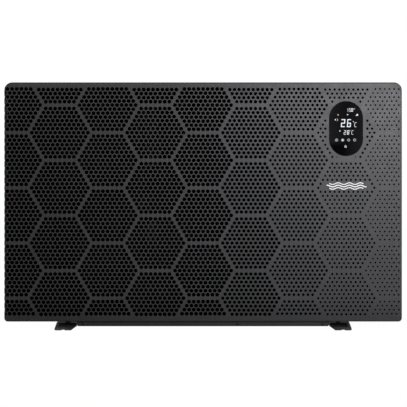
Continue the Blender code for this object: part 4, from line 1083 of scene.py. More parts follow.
def display_parts():
    bm = bmesh.new()
    stadium_rings(bm, 0, [(1.1, -210.75), (0.55, -210.68), (0.22, -210.45), (0.0, -210.0), (0.0, -207.4)])
    piece("display_glass", bm, GLASS, angle=50)
    bm = bmesh.new()
    plate(bm, "Y", [stadium(DISPLAY_X, DISPLAY_Z, DISPLAY_R + 6.5, DISPLAY_H + 13, 40), stadium(DISPLAY_X, DISPLAY_Z, DISPLAY_R + 0.8, DISPLAY_H + 1.6, 40)],
          (-208.4, -206.8), 0.4, 2)
    piece("display_gasket", bm, RUBBER)
    bm = bmesh.new()
    plate(bm, "Y", [stadium(DISPLAY_X, DISPLAY_Z, DISPLAY_R + 6.5, DISPLAY_H + 13, 40), stadium(DISPLAY_X, DISPLAY_Z, DISPLAY_R - 2, DISPLAY_H - 4, 40)],
          (-206.4, -204.6), 0.3, 2)
    plate(bm, "Y", [stadium(DISPLAY_X, DISPLAY_Z, DISPLAY_R, DISPLAY_H, 40), stadium(DISPLAY_X, DISPLAY_Z, DISPLAY_R - 2, DISPLAY_H - 4, 40)],
          (-205, -184.6), 0.2, 1)
    plate(bm, "Y", [stadium(DISPLAY_X, DISPLAY_Z, DISPLAY_R, DISPLAY_H, 40)], (-186, -184), 0.5, 2)
    piece("display_housing", bm, BLACK)


SEGS = {"0": "abcdef", "1": "bc", "2": "abged", "3": "abgcd", "4": "fgbc", "5": "afgcd", "6": "afgedc", "7": "abc", "8": "abcdefg", "9": "abcdfg"}


class Plotter:
    """Flat strokes on a plane: origin, two directions and a thin extrusion towards the viewer."""

    def __init__(self, origin, right, up, out, thick=0.12):
        self.o, self.u, self.v, self.n, self.t = Vector(origin), Vector(right), Vector(up), Vector(out), thick
        self.bm = bmesh.new()

    def poly(self, pts, level=0.0):
        rows = []
        for h in (level, level + self.t):
            rows.append([self.bm.verts.new(V(*(self.o + self.u * a + self.v * b + self.n * h))) for a, b in pts])
        n = len(pts)
        self.bm.faces.new(rows[1])
        self.bm.faces.new(rows[0][::-1])
        for i in range(n):
            self.bm.faces.new((rows[0][i], rows[0][(i + 1) % n], rows[1][(i + 1) % n], rows[1][i]))

    def line(self, pts, w, closed=False):
        """A ribbon of width w along a line, with round ends."""
        pts = [Vector(p) for p in pts]
        if closed:
            inner, outer = left_offset(pts, w / 2), left_offset(pts, -w / 2)
            n = len(pts)
            for i in range(n):
                self.poly([outer[i], outer[(i + 1) % n], inner[(i + 1) % n], inner[i]])
            return
        left, right = [], []
        for i, p in enumerate(pts):
            a, c = pts[max(i - 1, 0)], pts[min(i + 1, len(pts) - 1)]
            e0 = (p - a).normalized() if i else (c - p).normalized()
            e1 = (c - p).normalized() if i < len(pts) - 1 else e0
            m = Vector((-e0.y - e1.y, e0.x + e1.x))
            k = m.dot(Vector((-e0.y, e0.x)))
            m = m / k if k > 0.3 else Vector((-e0.y, e0.x))
            left.append(p + m * w / 2)
            right.append(p - m * w / 2)

        def cap(p, e):
            a0 = math.degrees(math.atan2(e.y, e.x))
            return [Vector(q) for q in arc(p.x, p.y, w / 2, a0 - 90, a0 + 90, 6)][1:-1]

        end = cap(pts[-1], (pts[-1] - pts[-2]).normalized())
        start = cap(pts[0], (pts[0] - pts[1]).normalized())
        self.poly(right + end + left[::-1] + start)

    def digits(self, text, x, y, h, w, stroke, gap, slant=0.0):
        """Seven-bar digits, with a ring for the degree sign and an arc for C. x, y is the lower left corner."""
        start_x, base = x, y
        first = len(self.bm.verts)
        for ch in text:
            if ch in SEGS:
                s, m = stroke / 2, h / 2
                x0, x1, y0, y1 = x + s, x + w - s, y + s, y + h - s
                e = stroke * 0.10
                bars = {"a": [(x0, y1), (x1, y1)], "b": [(x1, y1 - e), (x1, y + m + e)], "c": [(x1, y + m - e), (x1, y0 + e)], "d": [(x0, y0), (x1, y0)],
                        "e": [(x0, y + m - e), (x0, y0 + e)], "f": [(x0, y1 - e), (x0, y + m + e)], "g": [(x0, y + m), (x1, y + m)]}
                if ch == "1":
                    self.line([(x + w * 0.5, y1), (x + w * 0.5, y0)], stroke)
                    x += w * 0.75 + gap
                    continue
                for bar in SEGS[ch]:
                    self.line(bars[bar], stroke)
                x += w + gap
            elif ch == "o":                      # degree ring
                r = h * 0.15
                self.line(ring_pts(x + r, y + h - r, r - stroke * 0.3, 16), stroke * 0.6, closed=True)
                x += 2 * r + gap * 0.6
            elif ch == "C":
                r = h * 0.42
                self.line(arc(x + r, y + h / 2, r - stroke / 2, 45, 315, 16), stroke)
                x += 2 * r + gap
            else:
                x += w * 0.5
        if slant:
            self.bm.verts.ensure_lookup_table()
            foot = V(*(self.o + self.u * start_x + self.v * base))
            for v in self.bm.verts[first:]:
                v.co += self.u * slant * (v.co - foot).dot(self.v)
        return x


def px(x, y):
    """A point of the front elevation, from the grid the display is laid out on (2.5176 mm)."""
    return ((x - 203.18) * 2.5176 - 0.45, (321.5 - y) * 2.5176 + 22)


def display_symbols():
    p = Plotter((0, -210.76, 0), (1, 0, 0), (0, 0, 1), (0, -1, 0), 0.16)
    k = 2.5176
    # main reading and unit
    x, y = px(340.72, 127.3)
    p.digits("2", x, y, 20.1, 10.3, 2.5, 0, 0.07)
    x, y = px(346.8, 127.3)
    p.digits("6", x, y, 20.1, 9.7, 2.5, 0, 0.07)
    x, y = px(353.3, 121.75)
    p.poly(ring_pts(x, y, 1.15, 14))
    x, y = px(354.25, 127.4)
    p.line(filleted([(x + 5.4, y + 11.7), (x + 1.1, y + 11.7), (x + 0.5, y + 1.0), (x + 4.8, y + 1.0)], 2.2, n=4), 1.15)
    # set point
    x, y = px(343.65, 134.75)
    p.digits("2", x, y, 10.9, 5.6, 1.25, 0, 0.07)
    x, y = px(346.95, 134.75)
    p.digits("8", x, y, 10.9, 5.0, 1.3, 0, 0.07)
    x, y = px(350.05, 130.75)
    p.poly(ring_pts(x, y, 0.85, 12))
    x, y = px(351.25, 134.8)
    p.line(filleted([(x + 5.4, y + 10.4), (x + 1.2, y + 10.4), (x + 0.6, y + 0.7), (x + 4.6, y + 0.7)], 1.9, n=4), 0.95)
    # clock
    x, y = px(347.75, 111.85)
    p.line([(x + 0.4, y), (x - 0.1, y + 8.0)], 0.9)
    x, y = px(348.95, 111.85)
    p.digits("5", x, y, 8.5, 3.9, 0.85, 0, 0.03)
    x, y = px(350.95, 111.85)
    p.digits("8", x, y, 8.5, 4.9, 1.2, 0, 0.03)
    x, y = px(354.05, 109.2)
    p.line([(x - 1.8, y), (x + 1.8, y + 0.3)], 1.1)
    # row of status signs: sun, valve, signal
    x, y = px(338.0, 115.05)
    p.poly(ring_pts(x, y, 1.1, 14))
    for a in range(8):
        c, s = math.cos(a * math.pi / 4), math.sin(a * math.pi / 4)
        p.line([(x + 1.7 * c, y + 1.7 * s), (x + 2.2 * c, y + 2.2 * s)], 0.4)
    x, y = px(347.6, 114.95)
    p.poly([(x, y - 2.0), (x + 2.3, y + 1.3), (x - 2.3, y + 1.3)])
    p.poly([px(355.35, 115.9), px(358.05, 115.9), px(358.05, 114.7), px(357.5, 114.0), px(356.9, 114.2)])
    # speaker
    x, y = px(336.25, 119.95)
    p.poly([(x - 4.0, y - 0.9), (x - 2.8, y - 0.9), (x - 1.0, y - 2.7), (x - 1.0, y + 2.7), (x - 2.8, y + 0.9), (x - 4.0, y + 0.9)])
    p.line(arc(x + 0.2, y, 3.5, -55, 55, 8), 0.9)
    # droplet beside the set point
    x, y = px(339.85, 131.05)
    p.poly([(x, y + 2.5)] + arc(x, y - 0.4, 1.4, 150, 390, 14))
    # touch keys
    for i, cx in enumerate((336.62, 342.62, 348.6, 354.6)):
        x, y = px(cx, 140.15)
        p.line(ring_pts(x, y, 3.1, 28), 0.62, closed=True)
        if i == 0:
            p.line([(x - 1.4, y), (x + 1.4, y)], 0.6)
            p.line([(x, y - 1.4), (x, y + 1.4)], 0.6)
        elif i == 1:
            p.poly(ring_pts(x, y, 2.0, 20))
        elif i == 2:
            p.line([(x - 1.6, y + 0.8), (x, y - 0.9), (x + 1.6, y + 0.8)], 0.6)
        else:
            for dx in (-1.4, 0, 1.4):
                p.poly(ring_pts(x + dx, y, 0.5, 10))
    # power sign
    x, y = px(345.55, 146.75)
    p.line(arc(x, y, 2.3, 125, 415, 24), 1.05)
    p.line([(x, y + 0.6), (x, y + 3.2)], 1.0)
    bmesh.ops.recalc_face_normals(p.bm, faces=p.bm.faces)
    me = from_bm("display_symbols", p.bm)
    add("display_symbols", me, LIT, "cabinet", (), 30, smooth=False)


def rect_pts(x0, x1, y0, y1):
    return [(x0, y0), (x1, y0), (x1, y1), (x0, y1)]


def mark():
    """A plain decoration where makers put their badge: three wave lines."""
    p = Plotter((0, FACE + 0.01, 0), (1, 0, 0), (0, 0, 1), (0, -1, 0), 0.14)
    for row, (dz, x0, x1, w) in enumerate(((6.0, 318.0, 402.0, 2.0), (0.0, 311.5, 409.5, 2.4), (-6.0, 318.0, 402.0, 2.0))):
        n = 96
        pts = []
        for i in range(n + 1):
            x = x0 + (x1 - x0) * i / n
            pts.append((x, 363.0 + dz + 2.1 * math.sin((x - 360.5) / 98 * 2 * math.pi * 3.5)))
        p.line(pts, w)
    me = from_bm("front_wave_mark", p.bm)
    add("front_wave_mark", me, MARK, "cabinet", (), 30, smooth=False)


display_parts()
display_symbols()
mark()


# ------------------------------------------------------------------ fan section
def fan_section():
    bm = bmesh.new()
    plate(bm, "X", [[(-194.4, 26.6), (197, 26.6), (197, 612), (-194.4, 612)], ring_pts(180, 350, 9, 24), ring_pts(160, 290, 7.5, 24)], (180.0, 181.2), 0.25, 1)
    piece("partition_panel", bm, PARTITION)
    bm = bmesh.new()
    plate(bm, "Y", [[(-480, 27), (480, 27), (480, 612), (-480, 612)], ring_pts(-155, 322, 250.5, 128),
                    stadium(DISPLAY_X, DISPLAY_Z, DISPLAY_R + 1.5, DISPLAY_H + 3, 32)], (-197, -195), 0.3, 1)
    lathe(bm, "Y", (-155, 322), [(252, -196.6), (245.4, -194), (244.5, -186), (244.5, -130), (246.5, -130), (247.2, -187), (252, -195.4)], 128, 2.5, closed=True)
    piece("fan_shroud", bm, DEEP_SHADE, angle=40)

    bm = bmesh.new()
    lathe(bm, "Y", (-155, 322), [(5.4, -176), (47, -176), (54, -169), (54, -102), (51, -102), (51, -168), (47, -172), (15, -172), (15, -112), (5.4, -112)],
          72, 2.0, closed=True)
    for k in range(9):                          # stiffening webs behind the hub face
        a = 2 * math.pi * k / 9
        c, s = math.cos(a), math.sin(a)
        pts = [(14, -172.5), (51.5, -168), (51.5, -110), (14, -126)]
        fs = []
        for w in (-0.9, 0.9):
            fs.append([bm.verts.new(V(-155 + r * c - w * s, y, 322 + r * s + w * c)) for r, y in pts])
        bm.faces.new(fs[0])
        bm.faces.new(fs[1][::-1])
        for i in range(4):
            bm.faces.new((fs[0][i], fs[0][(i + 1) % 4], fs[1][(i + 1) % 4], fs[1][i]))
    for k in range(3):
        blade(bm, k)
    piece("fan_impeller", bm, FANBLADE_SHADED, "fan", angle=50)

    # Shaft and nut take the black steel in place of bright steel, as painted shade, so that they stay dark behind the
    # holes.
    bm = bmesh.new()
    lathe(bm, "Y", (-155, 322), [(0, -187), (4.2, -187), (5, -186), (5, -52), (0, -52)], 32, 0.3)
    piece("motor_shaft", bm, BLACK_SCREW, "fan")
    bm = bmesh.new()
    hexa = ring_pts(-155, 322, 9.8, 6)
    plate(bm, "Y", [filleted(hexa, 0.8, True, 3), ring_pts(-155, 322, 5.3, 32)], (-184, -176.4), 0.9, 3)
    piece("fan_nut", bm, BLACK_SCREW, "fan")

    bm = bmesh.new()
    lathe(bm, "Y", (-155, 322), [(0, -2), (46, -2), (54, -9), (54, -30), (53, -31), (53, -33), (54, -34), (54, -58), (53, -59), (53, -61), (54, -62), (54, -80),
                                 (50, -87), (20, -88), (20, -95), (5.6, -95), (5.6, -50), (0, -50)], 72, 0.8)
    piece("fan_motor", bm, MOTOR, angle=40)
    bm = bmesh.new()
    line = filleted([(-189, 22), (-189, -0.5), (-121, -0.5), (-121, 22)], 3.0, n=5)
    sheet(bm, "Z", line, (26.6, 612), 1.6, side=0, steps=6)
    piece("motor_bracket", bm, BLACK)


def blade(bm, k):
    """One swept blade with a rounded edge, 2.6 mm thick in the middle."""
    nr, nc = 26, 18
    FAN_R = 240.0

    def point(s, c, side):
        r = 52.4 + (FAN_R - 52.4) * s
        width = math.radians(58 + 22 * math.sin(math.pi * s * 0.8))
        a = 2 * math.pi * k / 3 + math.radians(26) * s * s + (c - 0.5) * width
        y = -139 + (c - 0.5) * (62 - 14 * s) - 7.0 * math.sin(math.pi * c) * (0.4 + 0.6 * s)
        edge = min(1.0, 6 * min(c, 1 - c), 8 * (1 - s) + 0.15)
        t = 1.3 * math.sqrt(max(edge, 0.02))
        return (-155 + r * math.cos(a), y + side * t, 322 + r * math.sin(a))

    grids = []
    for side in (-1, 1):
        grids.append([[bm.verts.new(V(*point(i / nr, j / nc, side))) for j in range(nc + 1)] for i in range(nr + 1)])
    for g, turn in ((grids[0], 1), (grids[1], -1)):
        for i in range(nr):
            for j in range(nc):
                bm.faces.new([g[i][j], g[i + 1][j], g[i + 1][j + 1], g[i][j + 1]][::turn])
    rim = ([(i, 0) for i in range(nr)] + [(nr, j) for j in range(nc)] + [(i, nc) for i in range(nr, 0, -1)] + [(0, j) for j in range(nc, 0, -1)])
    for (i, j), (m, n) in zip(rim, rim[1:] + rim[:1]):
        bm.faces.new((grids[0][i][j], grids[1][i][j], grids[1][m][n], grids[0][m][n]))


fan_section()


# ------------------------------------------------------------------ evaporator
COIL_LENGTH = 573 + math.pi / 2 * 50 + 290


def coil_point(s, off):
    a, b = 573.0, math.pi / 2 * 50
    if s <= a:
        return (158 - s, 170 + off)
    if s <= a + b:
        t = math.pi / 2 + (s - a) / 50
        return (-415 + (50 + off) * math.cos(t), 120 + (50 + off) * math.sin(t))
    return (-465 - off, 120 - (s - a - b))


def evaporator():
    bm = bmesh.new()
    pitch, th = 2.6, 0.35
    n = int(COIL_LENGTH / pitch)
    wave = ((20, 0.0), (10, 2.8), (0, 0.0), (-10, 2.8), (-20, 0.0))      # corrugated fins: no line of sight through
    for i in range(n + 1):
        s = th / 2 + i * (COIL_LENGTH - th - 2.8) / n
        ring = [coil_point(s - th / 2 + w, off) for off, w in wave] + [coil_point(s + th / 2 + w, off) for off, w in reversed(wave)]
        loft(bm, [(ring[::-1], 27.0), (ring[::-1], 602.0)], "Z")
    fins = len(bm.faces)
    for row in (-10, 10):
        for k in range(23):
            z = 39 + k * 25 + (12.5 if row > 0 else 0)
            if z > 598:
                continue
            path = [(*coil_point(s, row), z) for s in [0, 573] + [573 + 78.5 * q / 8 for q in range(1, 8)] + [573 + 78.5, COIL_LENGTH]]
            tube(bm, path, 4.2, 8, 0, mat=1)
    # return bends at the front end of the coil
    for k in range(22):
        z = 39 + k * 25 + (12.5 if k % 2 else 0)
        row = 10 if k % 2 else -10
        x = -465 - row
        pts = [(x, -169, z), (x, -172, z)] + [(x, -172 - 8 * math.sin(a), z + 12.5 * (1 - math.cos(a))) for a in (math.pi * q / 8 for q in range(1, 8))] + [(x, -172, z + 25), (x, -169, z + 25)]
        if z + 25 < 600 and k % 4 < 2:
            tube(bm, pts, 4.2, 10, 0, mat=1)
    piece("evaporator_coil", bm, [FIN, COIL_COPPER], angle=25, weld=False)
    bm = bmesh.new()
    plate(bm, "X", [[(146, 27), (194, 27), (194, 606), (146, 606)]], (158.4, 159.9), 0.3, 2)
    piece("coil_end_plate", bm, GALV)
    for node, x, y, r, stub in (("gas_header", 170, 180, 6.5, 4.0), ("liquid_header", 170, 160, 5.0, 3.0)):
        bm = bmesh.new()
        lathe(bm, "Z", (x, y), [(0, 70), (r * 0.6, 70.3), (r, 73), (r, 557), (r * 0.6, 559.7), (0, 560)], 28, 1.0)
        for i in range(6):
            z = 100 + 86 * i
            tube(bm, [(160.2, y, z), (x - r * 0.5, y, z)], stub, 16, 0)
            lathe(bm, "X", (y, z), [(stub, x - r - 1.6), (stub + 0.9, x - r - 1.0), (stub + 1.2, x - r + 0.6), (stub, x - r + 0.6)], 16, 0.3, closed=True)
        piece(node, bm, COPPER, weld=False, angle=40)


evaporator()


# ------------------------------------------------------------------ refrigerant circuit
def refrigerant():
    cx, cy = 265.0, -60.0
    bm = bmesh.new()
    lathe(bm, "Z", (cx, cy), [(0, 34), (34, 37), (56, 47), (62, 60), (62, 148), (63, 149.5), (63, 151.5), (62, 153), (62, 262), (63, 263.5), (63, 265.5), (62, 267), (62, 288),
                              (57, 303), (34, 314), (9, 317), (9, 321), (6.5, 322), (6.5, 328), (3.5, 328), (3.5, 300), (44, 290), (44, 60), (0, 56)], 72, 2.2)
    outline = []
    for a in (90, 210, 330):
        ex, ey = cx + 72 * math.cos(math.radians(a)), cy + 72 * math.sin(math.radians(a))
        outline += arc(ex, ey, 15, a - 60, a + 60, 14)
    holes = [ring_pts(cx + 72 * math.cos(math.radians(a)), cy + 72 * math.sin(math.radians(a)), 6, 24) for a in (90, 210, 330)]
    plate(bm, "Z", [filleted(outline, 6, True, 3)] + holes, (49, 52), 0.5, 2)
    # terminal guard on the side
    block(bm, (cx - 16, cx + 16), (cy - 66, cy - 55), (200, 246), 3)
    piece("compressor", bm, COMP, angle=40, weld=False)
    for a, node in zip((90, 210, 330), ("compressor_grommet_rear", "compressor_grommet_left", "compressor_grommet_right")):
        bm = bmesh.new()
        lathe(bm, "Z", (cx + 72 * math.cos(math.radians(a)), cy + 72 * math.sin(math.radians(a))),
              [(0, 26.4), (13, 26.4), (10, 37), (12.5, 48.6), (5.4, 48.6), (5.4, 52.4), (8.5, 52.4), (8.0, 56), (0, 56)], 40, 1.4)
        piece(node, bm, RUBBER)
    bm = bmesh.new()
    lathe(bm, "Z", (265, 55), [(0, 128), (14, 130), (29, 140), (32, 150), (32, 214), (32.8, 215), (32.8, 217), (32, 218), (32, 282), (28, 292), (12, 300), (6.2, 301), (6.2, 306),
                               (3.5, 306), (3.5, 294), (26, 280), (28, 152), (0, 142)], 56, 2.0)
    tube(bm, [(265, 55, 132), (265, 55, 92), (265, 2.6, 92)], 6.0, 20, 16)
    piece("accumulator", bm, COMP, angle=40, weld=False)

    bm = bmesh.new()
    lathe(bm, "Y", (250, 400), [(0, 5), (11, 5), (14, 8), (14, 112), (11, 115), (0, 115)], 40, 1.2)
    for y0 in (12, 100):
        lathe(bm, "Y", (250, 400), [(13.6, y0), (14.8, y0 + 1), (14.8, y0 + 7), (13.6, y0 + 8)], 40, 0.5, closed=True)
    tube(bm, [(250, 60, 408), (250, 60, 434)], 6.4, 20, 0)
    for d in (-25, 0, 25):
        tube(bm, [(250, 60 + d, 368), (250, 60 + d, 392)], 6.8, 20, 0)
    block(bm, (258, 276), (52, 68), (394, 406), 1.2)
    lathe(bm, "Y", (280, 400), [(0, 30), (8, 30), (9, 31), (9, 93), (8, 94), (0, 94)], 28, 0.6)
    for f in bm.faces:
        f.material_index = 0
    lathe(bm, "Y", (280, 400), [(5, 42), (13.5, 42), (13.5, 80), (5, 80)], 28, 2.0, closed=True, mat=1)
    piece("reversing_valve", bm, [BRASS, BLACK], angle=40, weld=False)

    bm = bmesh.new()
    lathe(bm, "Z", (215, 160), [(0, 262), (9, 263), (12, 268), (12, 302), (14, 303), (19, 304)], 40, 0.8)
    lathe(bm, "Z", (215, 160), [(0, 303.5), (18, 303.5), (19, 304.5), (19, 330), (16, 334), (0, 334)], 40, 1.0, mat=1)
    tube(bm, [(210, 160, 290), (176, 160, 290)], 4.5, 18, 0)
    piece("expansion_valve", bm, [BRASS, BLACK], angle=40, weld=False)

    runs = {"discharge_pipe": ([(cx, cy, 328.6), (cx, cy, 456), (250, 60, 456), (250, 60, 434.8)], 6.0, 18),
            "suction_pipe": ([(250, 60, 367.2), (250, 60, 342), (265, 55, 334), (265, 55, 306.8)], 6.0, 10),
            "evaporator_pipe": ([(250, 35, 367.2), (250, 35, 350), (206, 35, 350), (206, 180, 350), (177.2, 180, 350)], 6.0, 14),
            "gas_pipe": ([(250, 85, 367.2), (250, 85, 348), (298, 104, 348), (298, 104, 489), (375, 95, 489), (375, 95, 479.2)], 6.0, 9),
            "liquid_pipe": ([(425, 95, 479.2), (425, 95, 501), (288, 168, 501), (288, 168, 236), (215, 160, 236), (215, 160, 261.4)], 4.8, 12)}
    for node, (pts, r, bend) in runs.items():
        bm = bmesh.new()
        tube(bm, pts, r, 24, bend, 10)
        piece(node, bm, COPPER, angle=50)


refrigerant()


# ------------------------------------------------------------------ water side
def water_side():
    hx, hy = 400.0, 95.0
    bm = bmesh.new()
    lathe(bm, "Z", (hx, hy), [(0, 40), (75, 40), (75, 26.6), (82, 26.6), (82, 444), (88, 446), (88, 452), (76, 452), (76, 46), (0, 46)], 96, 1.2)
    for z in (60, 260, 430):
        lathe(bm, "Z", (hx, hy), [(81.5, z), (83.4, z + 1), (83.4, z + 9), (81.5, z + 10)], 96, 0.6, closed=True)
    for z in (120, 400):
        lathe(bm, "Y", (hx, z), [(22, 166), (33, 166), (33, 214)] + [q for i in range(4) for q in ((33, 215 + 2.4 * i), (31.8, 216.2 + 2.4 * i))] + [(33, 225), (32, 226), (22, 226)],
              72, 0.35, closed=True)
    piece("heat_exchanger_shell", bm, PVC, angle=40, weld=False)
    bm = bmesh.new()
    plate(bm, "Z", [ring_pts(hx, hy, 88, 96), ring_pts(hx - 25, hy, 7.8, 24), ring_pts(hx + 25, hy, 7.8, 24)], (452.4, 466.0), 1.5, 3)
    for k in range(10):
        a = 2 * math.pi * k / 10 + 0.31
        c = (hx + 81 * math.cos(a), hy + 81 * math.sin(a))
        plate(bm, "Z", [ring_pts(*c, 4.6, 6)], (465.5, 469.5), 0.6, 2, mat=1)
    piece("heat_exchanger_lid", bm, [PVC, STEEL], angle=40, weld=False)
    turns, per = 7, 32
    helix = [(hx + 25, hy, 478.6), (hx + 25, hy, 440), (hx + 26, hy, 434), (hx + 32, hy, 429.5), (hx + 40, hy, 427.5)]
    for i in range(turns * per + 1):
        t = i / (turns * per)
        a = 2 * math.pi * turns * t
        helix.append((hx + 50 * math.cos(a), hy + 50 * math.sin(a), 424 - 336 * t))
    helix += [(hx + 40, hy + 3, 83), (hx + 30, hy + 4, 80), (hx, hy + 2, 76), (hx - 15, hy + 1, 78), (hx - 22, hy, 84), (hx - 25, hy, 96), (hx - 25, hy, 478.6)]
    bm = bmesh.new()
    tube(bm, helix, 7.0, 14, 0)
    piece("titanium_coil", bm, TITAN, angle=60)
    for prefix, z in (("inlet", 120.0), ("outlet", 400.0)):
        n = 160

        def lobed(inset):
            out = []
            for i in range(n):
                a = 2 * math.pi * i / n
                wave = 0.5 + 0.5 * math.tanh(3.0 * math.cos(8 * (a - 0.157)))
                r = 39.4 + 2.6 * wave - inset
                out.append((hx + r * math.cos(a), z + r * math.sin(a)))
            return out

        rings = [(lobed(1.6), 213.0), (lobed(0.9), 213.2), (lobed(0.3), 213.9), (lobed(0), 215.2), (lobed(0), 238.4), (lobed(0.4), 239.9), (lobed(1.2), 240.7), (lobed(2.2), 241.0),
                 (ring_pts(hx, z, 31.0, n), 241.0), (ring_pts(hx, z, 30.1, n), 240.4), (ring_pts(hx, z, 30.1, n), 234.7), (ring_pts(hx, z, 33.5, n), 234.6), (ring_pts(hx, z, 33.5, n), 213.0)]
        bm = bmesh.new()
        loops = loft(bm, rings, "Y", False, False)
        for i in range(n):
            bm.faces.new((loops[-1][i], loops[-1][(i + 1) % n], loops[0][(i + 1) % n], loops[0][i]))
        piece(prefix + "_union_nut", bm, BLACK, prefix + "_nut", angle=40)
        bm = bmesh.new()
        lathe(bm, "Y", (hx, z), [(22, 229.9), (33, 229.9), (33, 234.2), (29.5, 234.2), (29.5, 262), (30.4, 263), (30.4, 274), (29.4, 275), (25.8, 275), (25, 274), (25, 240), (22, 240)], 72, 0.5, closed=True)
        piece(prefix + "_union_tail", bm, PVC, angle=40)
        bm = bmesh.new()
        lathe(bm, "Y", (hx, z), [(27.5 + 1.6 * math.cos(a), 228.0 + 1.6 * math.sin(a)) for a in (2 * math.pi * q / 16 for q in range(16))], 64, 0, closed=True)
        piece(prefix + "_o_ring", bm, RUBBER, angle=60)
    refined("flow_switch_body", BLACK, bevel=0.0)
    bm = bmesh.new()
    block(bm, (393, 407), (193.4, 194.6), (107, 133), 0.5)
    lathe(bm, "Z", (400, 194), [(0, 130), (1.5, 130), (1.5, 161), (0, 161)], 20, 0.3)
    lathe(bm, "X", (194, 161), [(0, 394.5), (2, 394.5), (2, 405.5), (0, 405.5)], 24, 0.4)
    piece("flow_switch_paddle", bm, BRASS, "flow_paddle", weld=False)


water_side()


# ------------------------------------------------------------------ electrics
def electrics():
    refined("electrical_box", GALV, bevel=0.3)
    bm = bmesh.new()
    plate(bm, "Z", [rounded_rect(205, 440, -130, 170, 3)], (520, 521.6), 0.2, 1)
    for x, y in ((240, -90), (275, -90), (310, -90)):
        lathe(bm, "Z", (x, y), [(14, 521.4), (14, 554), (12.6, 556), (11.5, 555.4), (0, 555.4)], 40, 0.8, mat=1)
        lathe(bm, "Z", (x, y), [(0, 555.3), (11.3, 555.3), (11.3, 555.7), (0, 555.7)], 32, 0.1, mat=3)
    block(bm, (370, 425), (-110, -50), (521.4, 560), 2.5, mat=2)
    for i in range(3):
        block(bm, (372 + 17 * i, 385 + 17 * i), (-112, -48), (533, 549), 1.5, mat=4)
    block(bm, (230, 330), (60, 110), (521.4, 532), 1.0, mat=1)
    block(bm, (370, 392), (90, 140), (521.4, 540), 1.0, mat=5)
    rnd = random.Random(3)
    placed = [(222, 330, -108, -70), (365, 430, -115, -45), (225, 335, 55, 115), (365, 397, 85, 145)]
    for _ in range(160):
        w, d, h = rnd.choice(((3, 1.6, 1.2), (5, 5, 1.6), (10, 6, 2.2), (7, 7, 9), (16, 16, 2.4)))
        if rnd.random() < 0.5:
            w, d = d, w
        x, y = rnd.uniform(210, 435 - w), rnd.uniform(-125, 165 - d)
        if any(x < b + 1.5 and x + w > a - 1.5 and y < e + 1.5 and y + d > c - 1.5 for a, b, c, e in placed):
            continue
        placed.append((x, x + w, y, y + d))
        block(bm, (x, x + w), (y, y + d), (521.5, 521.6 + h), 0.3, mat=rnd.choice((1, 1, 3, 5)), n=1)
    piece("main_board", bm, [BOARD, BLACK, STEEL, NYLON, COPPER, COAT_WHITE], angle=40, weld=False)

    bm = bmesh.new()
    block(bm, (457, 470), (55, 135), (505, 545), 1.0)
    plate(bm, "Z", [rect_pts(469.5, 479, 55, 135)], (505, 512), 0.6, 2)
    plate(bm, "Z", [rect_pts(469.5, 479, 55, 135)], (538, 545), 0.6, 2)
    for i in range(6):
        y0 = 55 if i == 0 else 45 + 15 * i + 10
        y1 = 60 if i == 0 else min(135, y0 + 5)
        plate(bm, "Z", [rect_pts(469.5, 479, y0, max(y1, y0 + 2))], (511, 539), 0.4, 1)
    for i in range(5):
        lathe(bm, "X", (65 + 15 * i, 525), [(0, 474.5), (3.2, 474.2), (3.8, 473.2), (3.8, 470), (0, 470)], 24, 0.4, mat=1)
    piece("terminal_block", bm, [NYLON, BRASS], angle=40, weld=False)

    # terminal cover: a shallow lid with a rounded rim, a raised field and two sunk screws
    bm = bmesh.new()
    y0, y1, z0, z1 = 40.6, 149.4, 478.6, 571.4
    spots = [(52.0, 525.0), (138.0, 525.0)]
    plate(bm, "X", [rounded_rect(y0, y1, z0, z1, 3.0, 6)] + [ring_pts(y, z, 4.2, 20) for y, z in spots], (497.0, 499.4), 0.6, 3)
    plate(bm, "X", [rounded_rect(62, 128, 488, 562, 4.0, 6)], (499.0, 500.0), 0.6, 3)
    piece("terminal_cover", bm, CASE_SIDE, "terminal_hatch", angle=40, weld=False)
    bm = bmesh.new()
    sunk = screw_shape(3.6, 1.4, 0.8)
    for y, z in spots:
        put_mesh(bm, sunk, (497.9, y, z), (1, 0, 0), y)
    piece("hatch_screws", bm, STEEL, "terminal_hatch", (), 40, weld=False)

    # recessed hand grip
    bm = bmesh.new()
    y0, y1, z0, z1 = -91.4, 11.4, 512.6, 561.4

    def cup(inset, r):
        return rounded_rect(y0 + inset, y1 - inset, z0 + inset, z1 - inset, max(r - inset, 0.6), 8)

    rings = [(cup(0, 5), 474.6), (cup(0, 5), 499.3), (cup(0.25, 5), 499.75), (cup(0.8, 5), 499.9), (cup(1.4, 5), 499.75), (cup(2.0, 5), 499.2),
             (cup(2.4, 6), 494), (cup(3.0, 8), 482), (cup(4.4, 9), 478), (cup(7.5, 11), 475.9), (cup(12, 14), 475.5)]
    loops = loft(bm, rings, "X", False, True)
    bm.faces.new(loops[0][::-1])
    piece("side_handle", bm, BLACK, "service_panel", angle=50)


electrics()


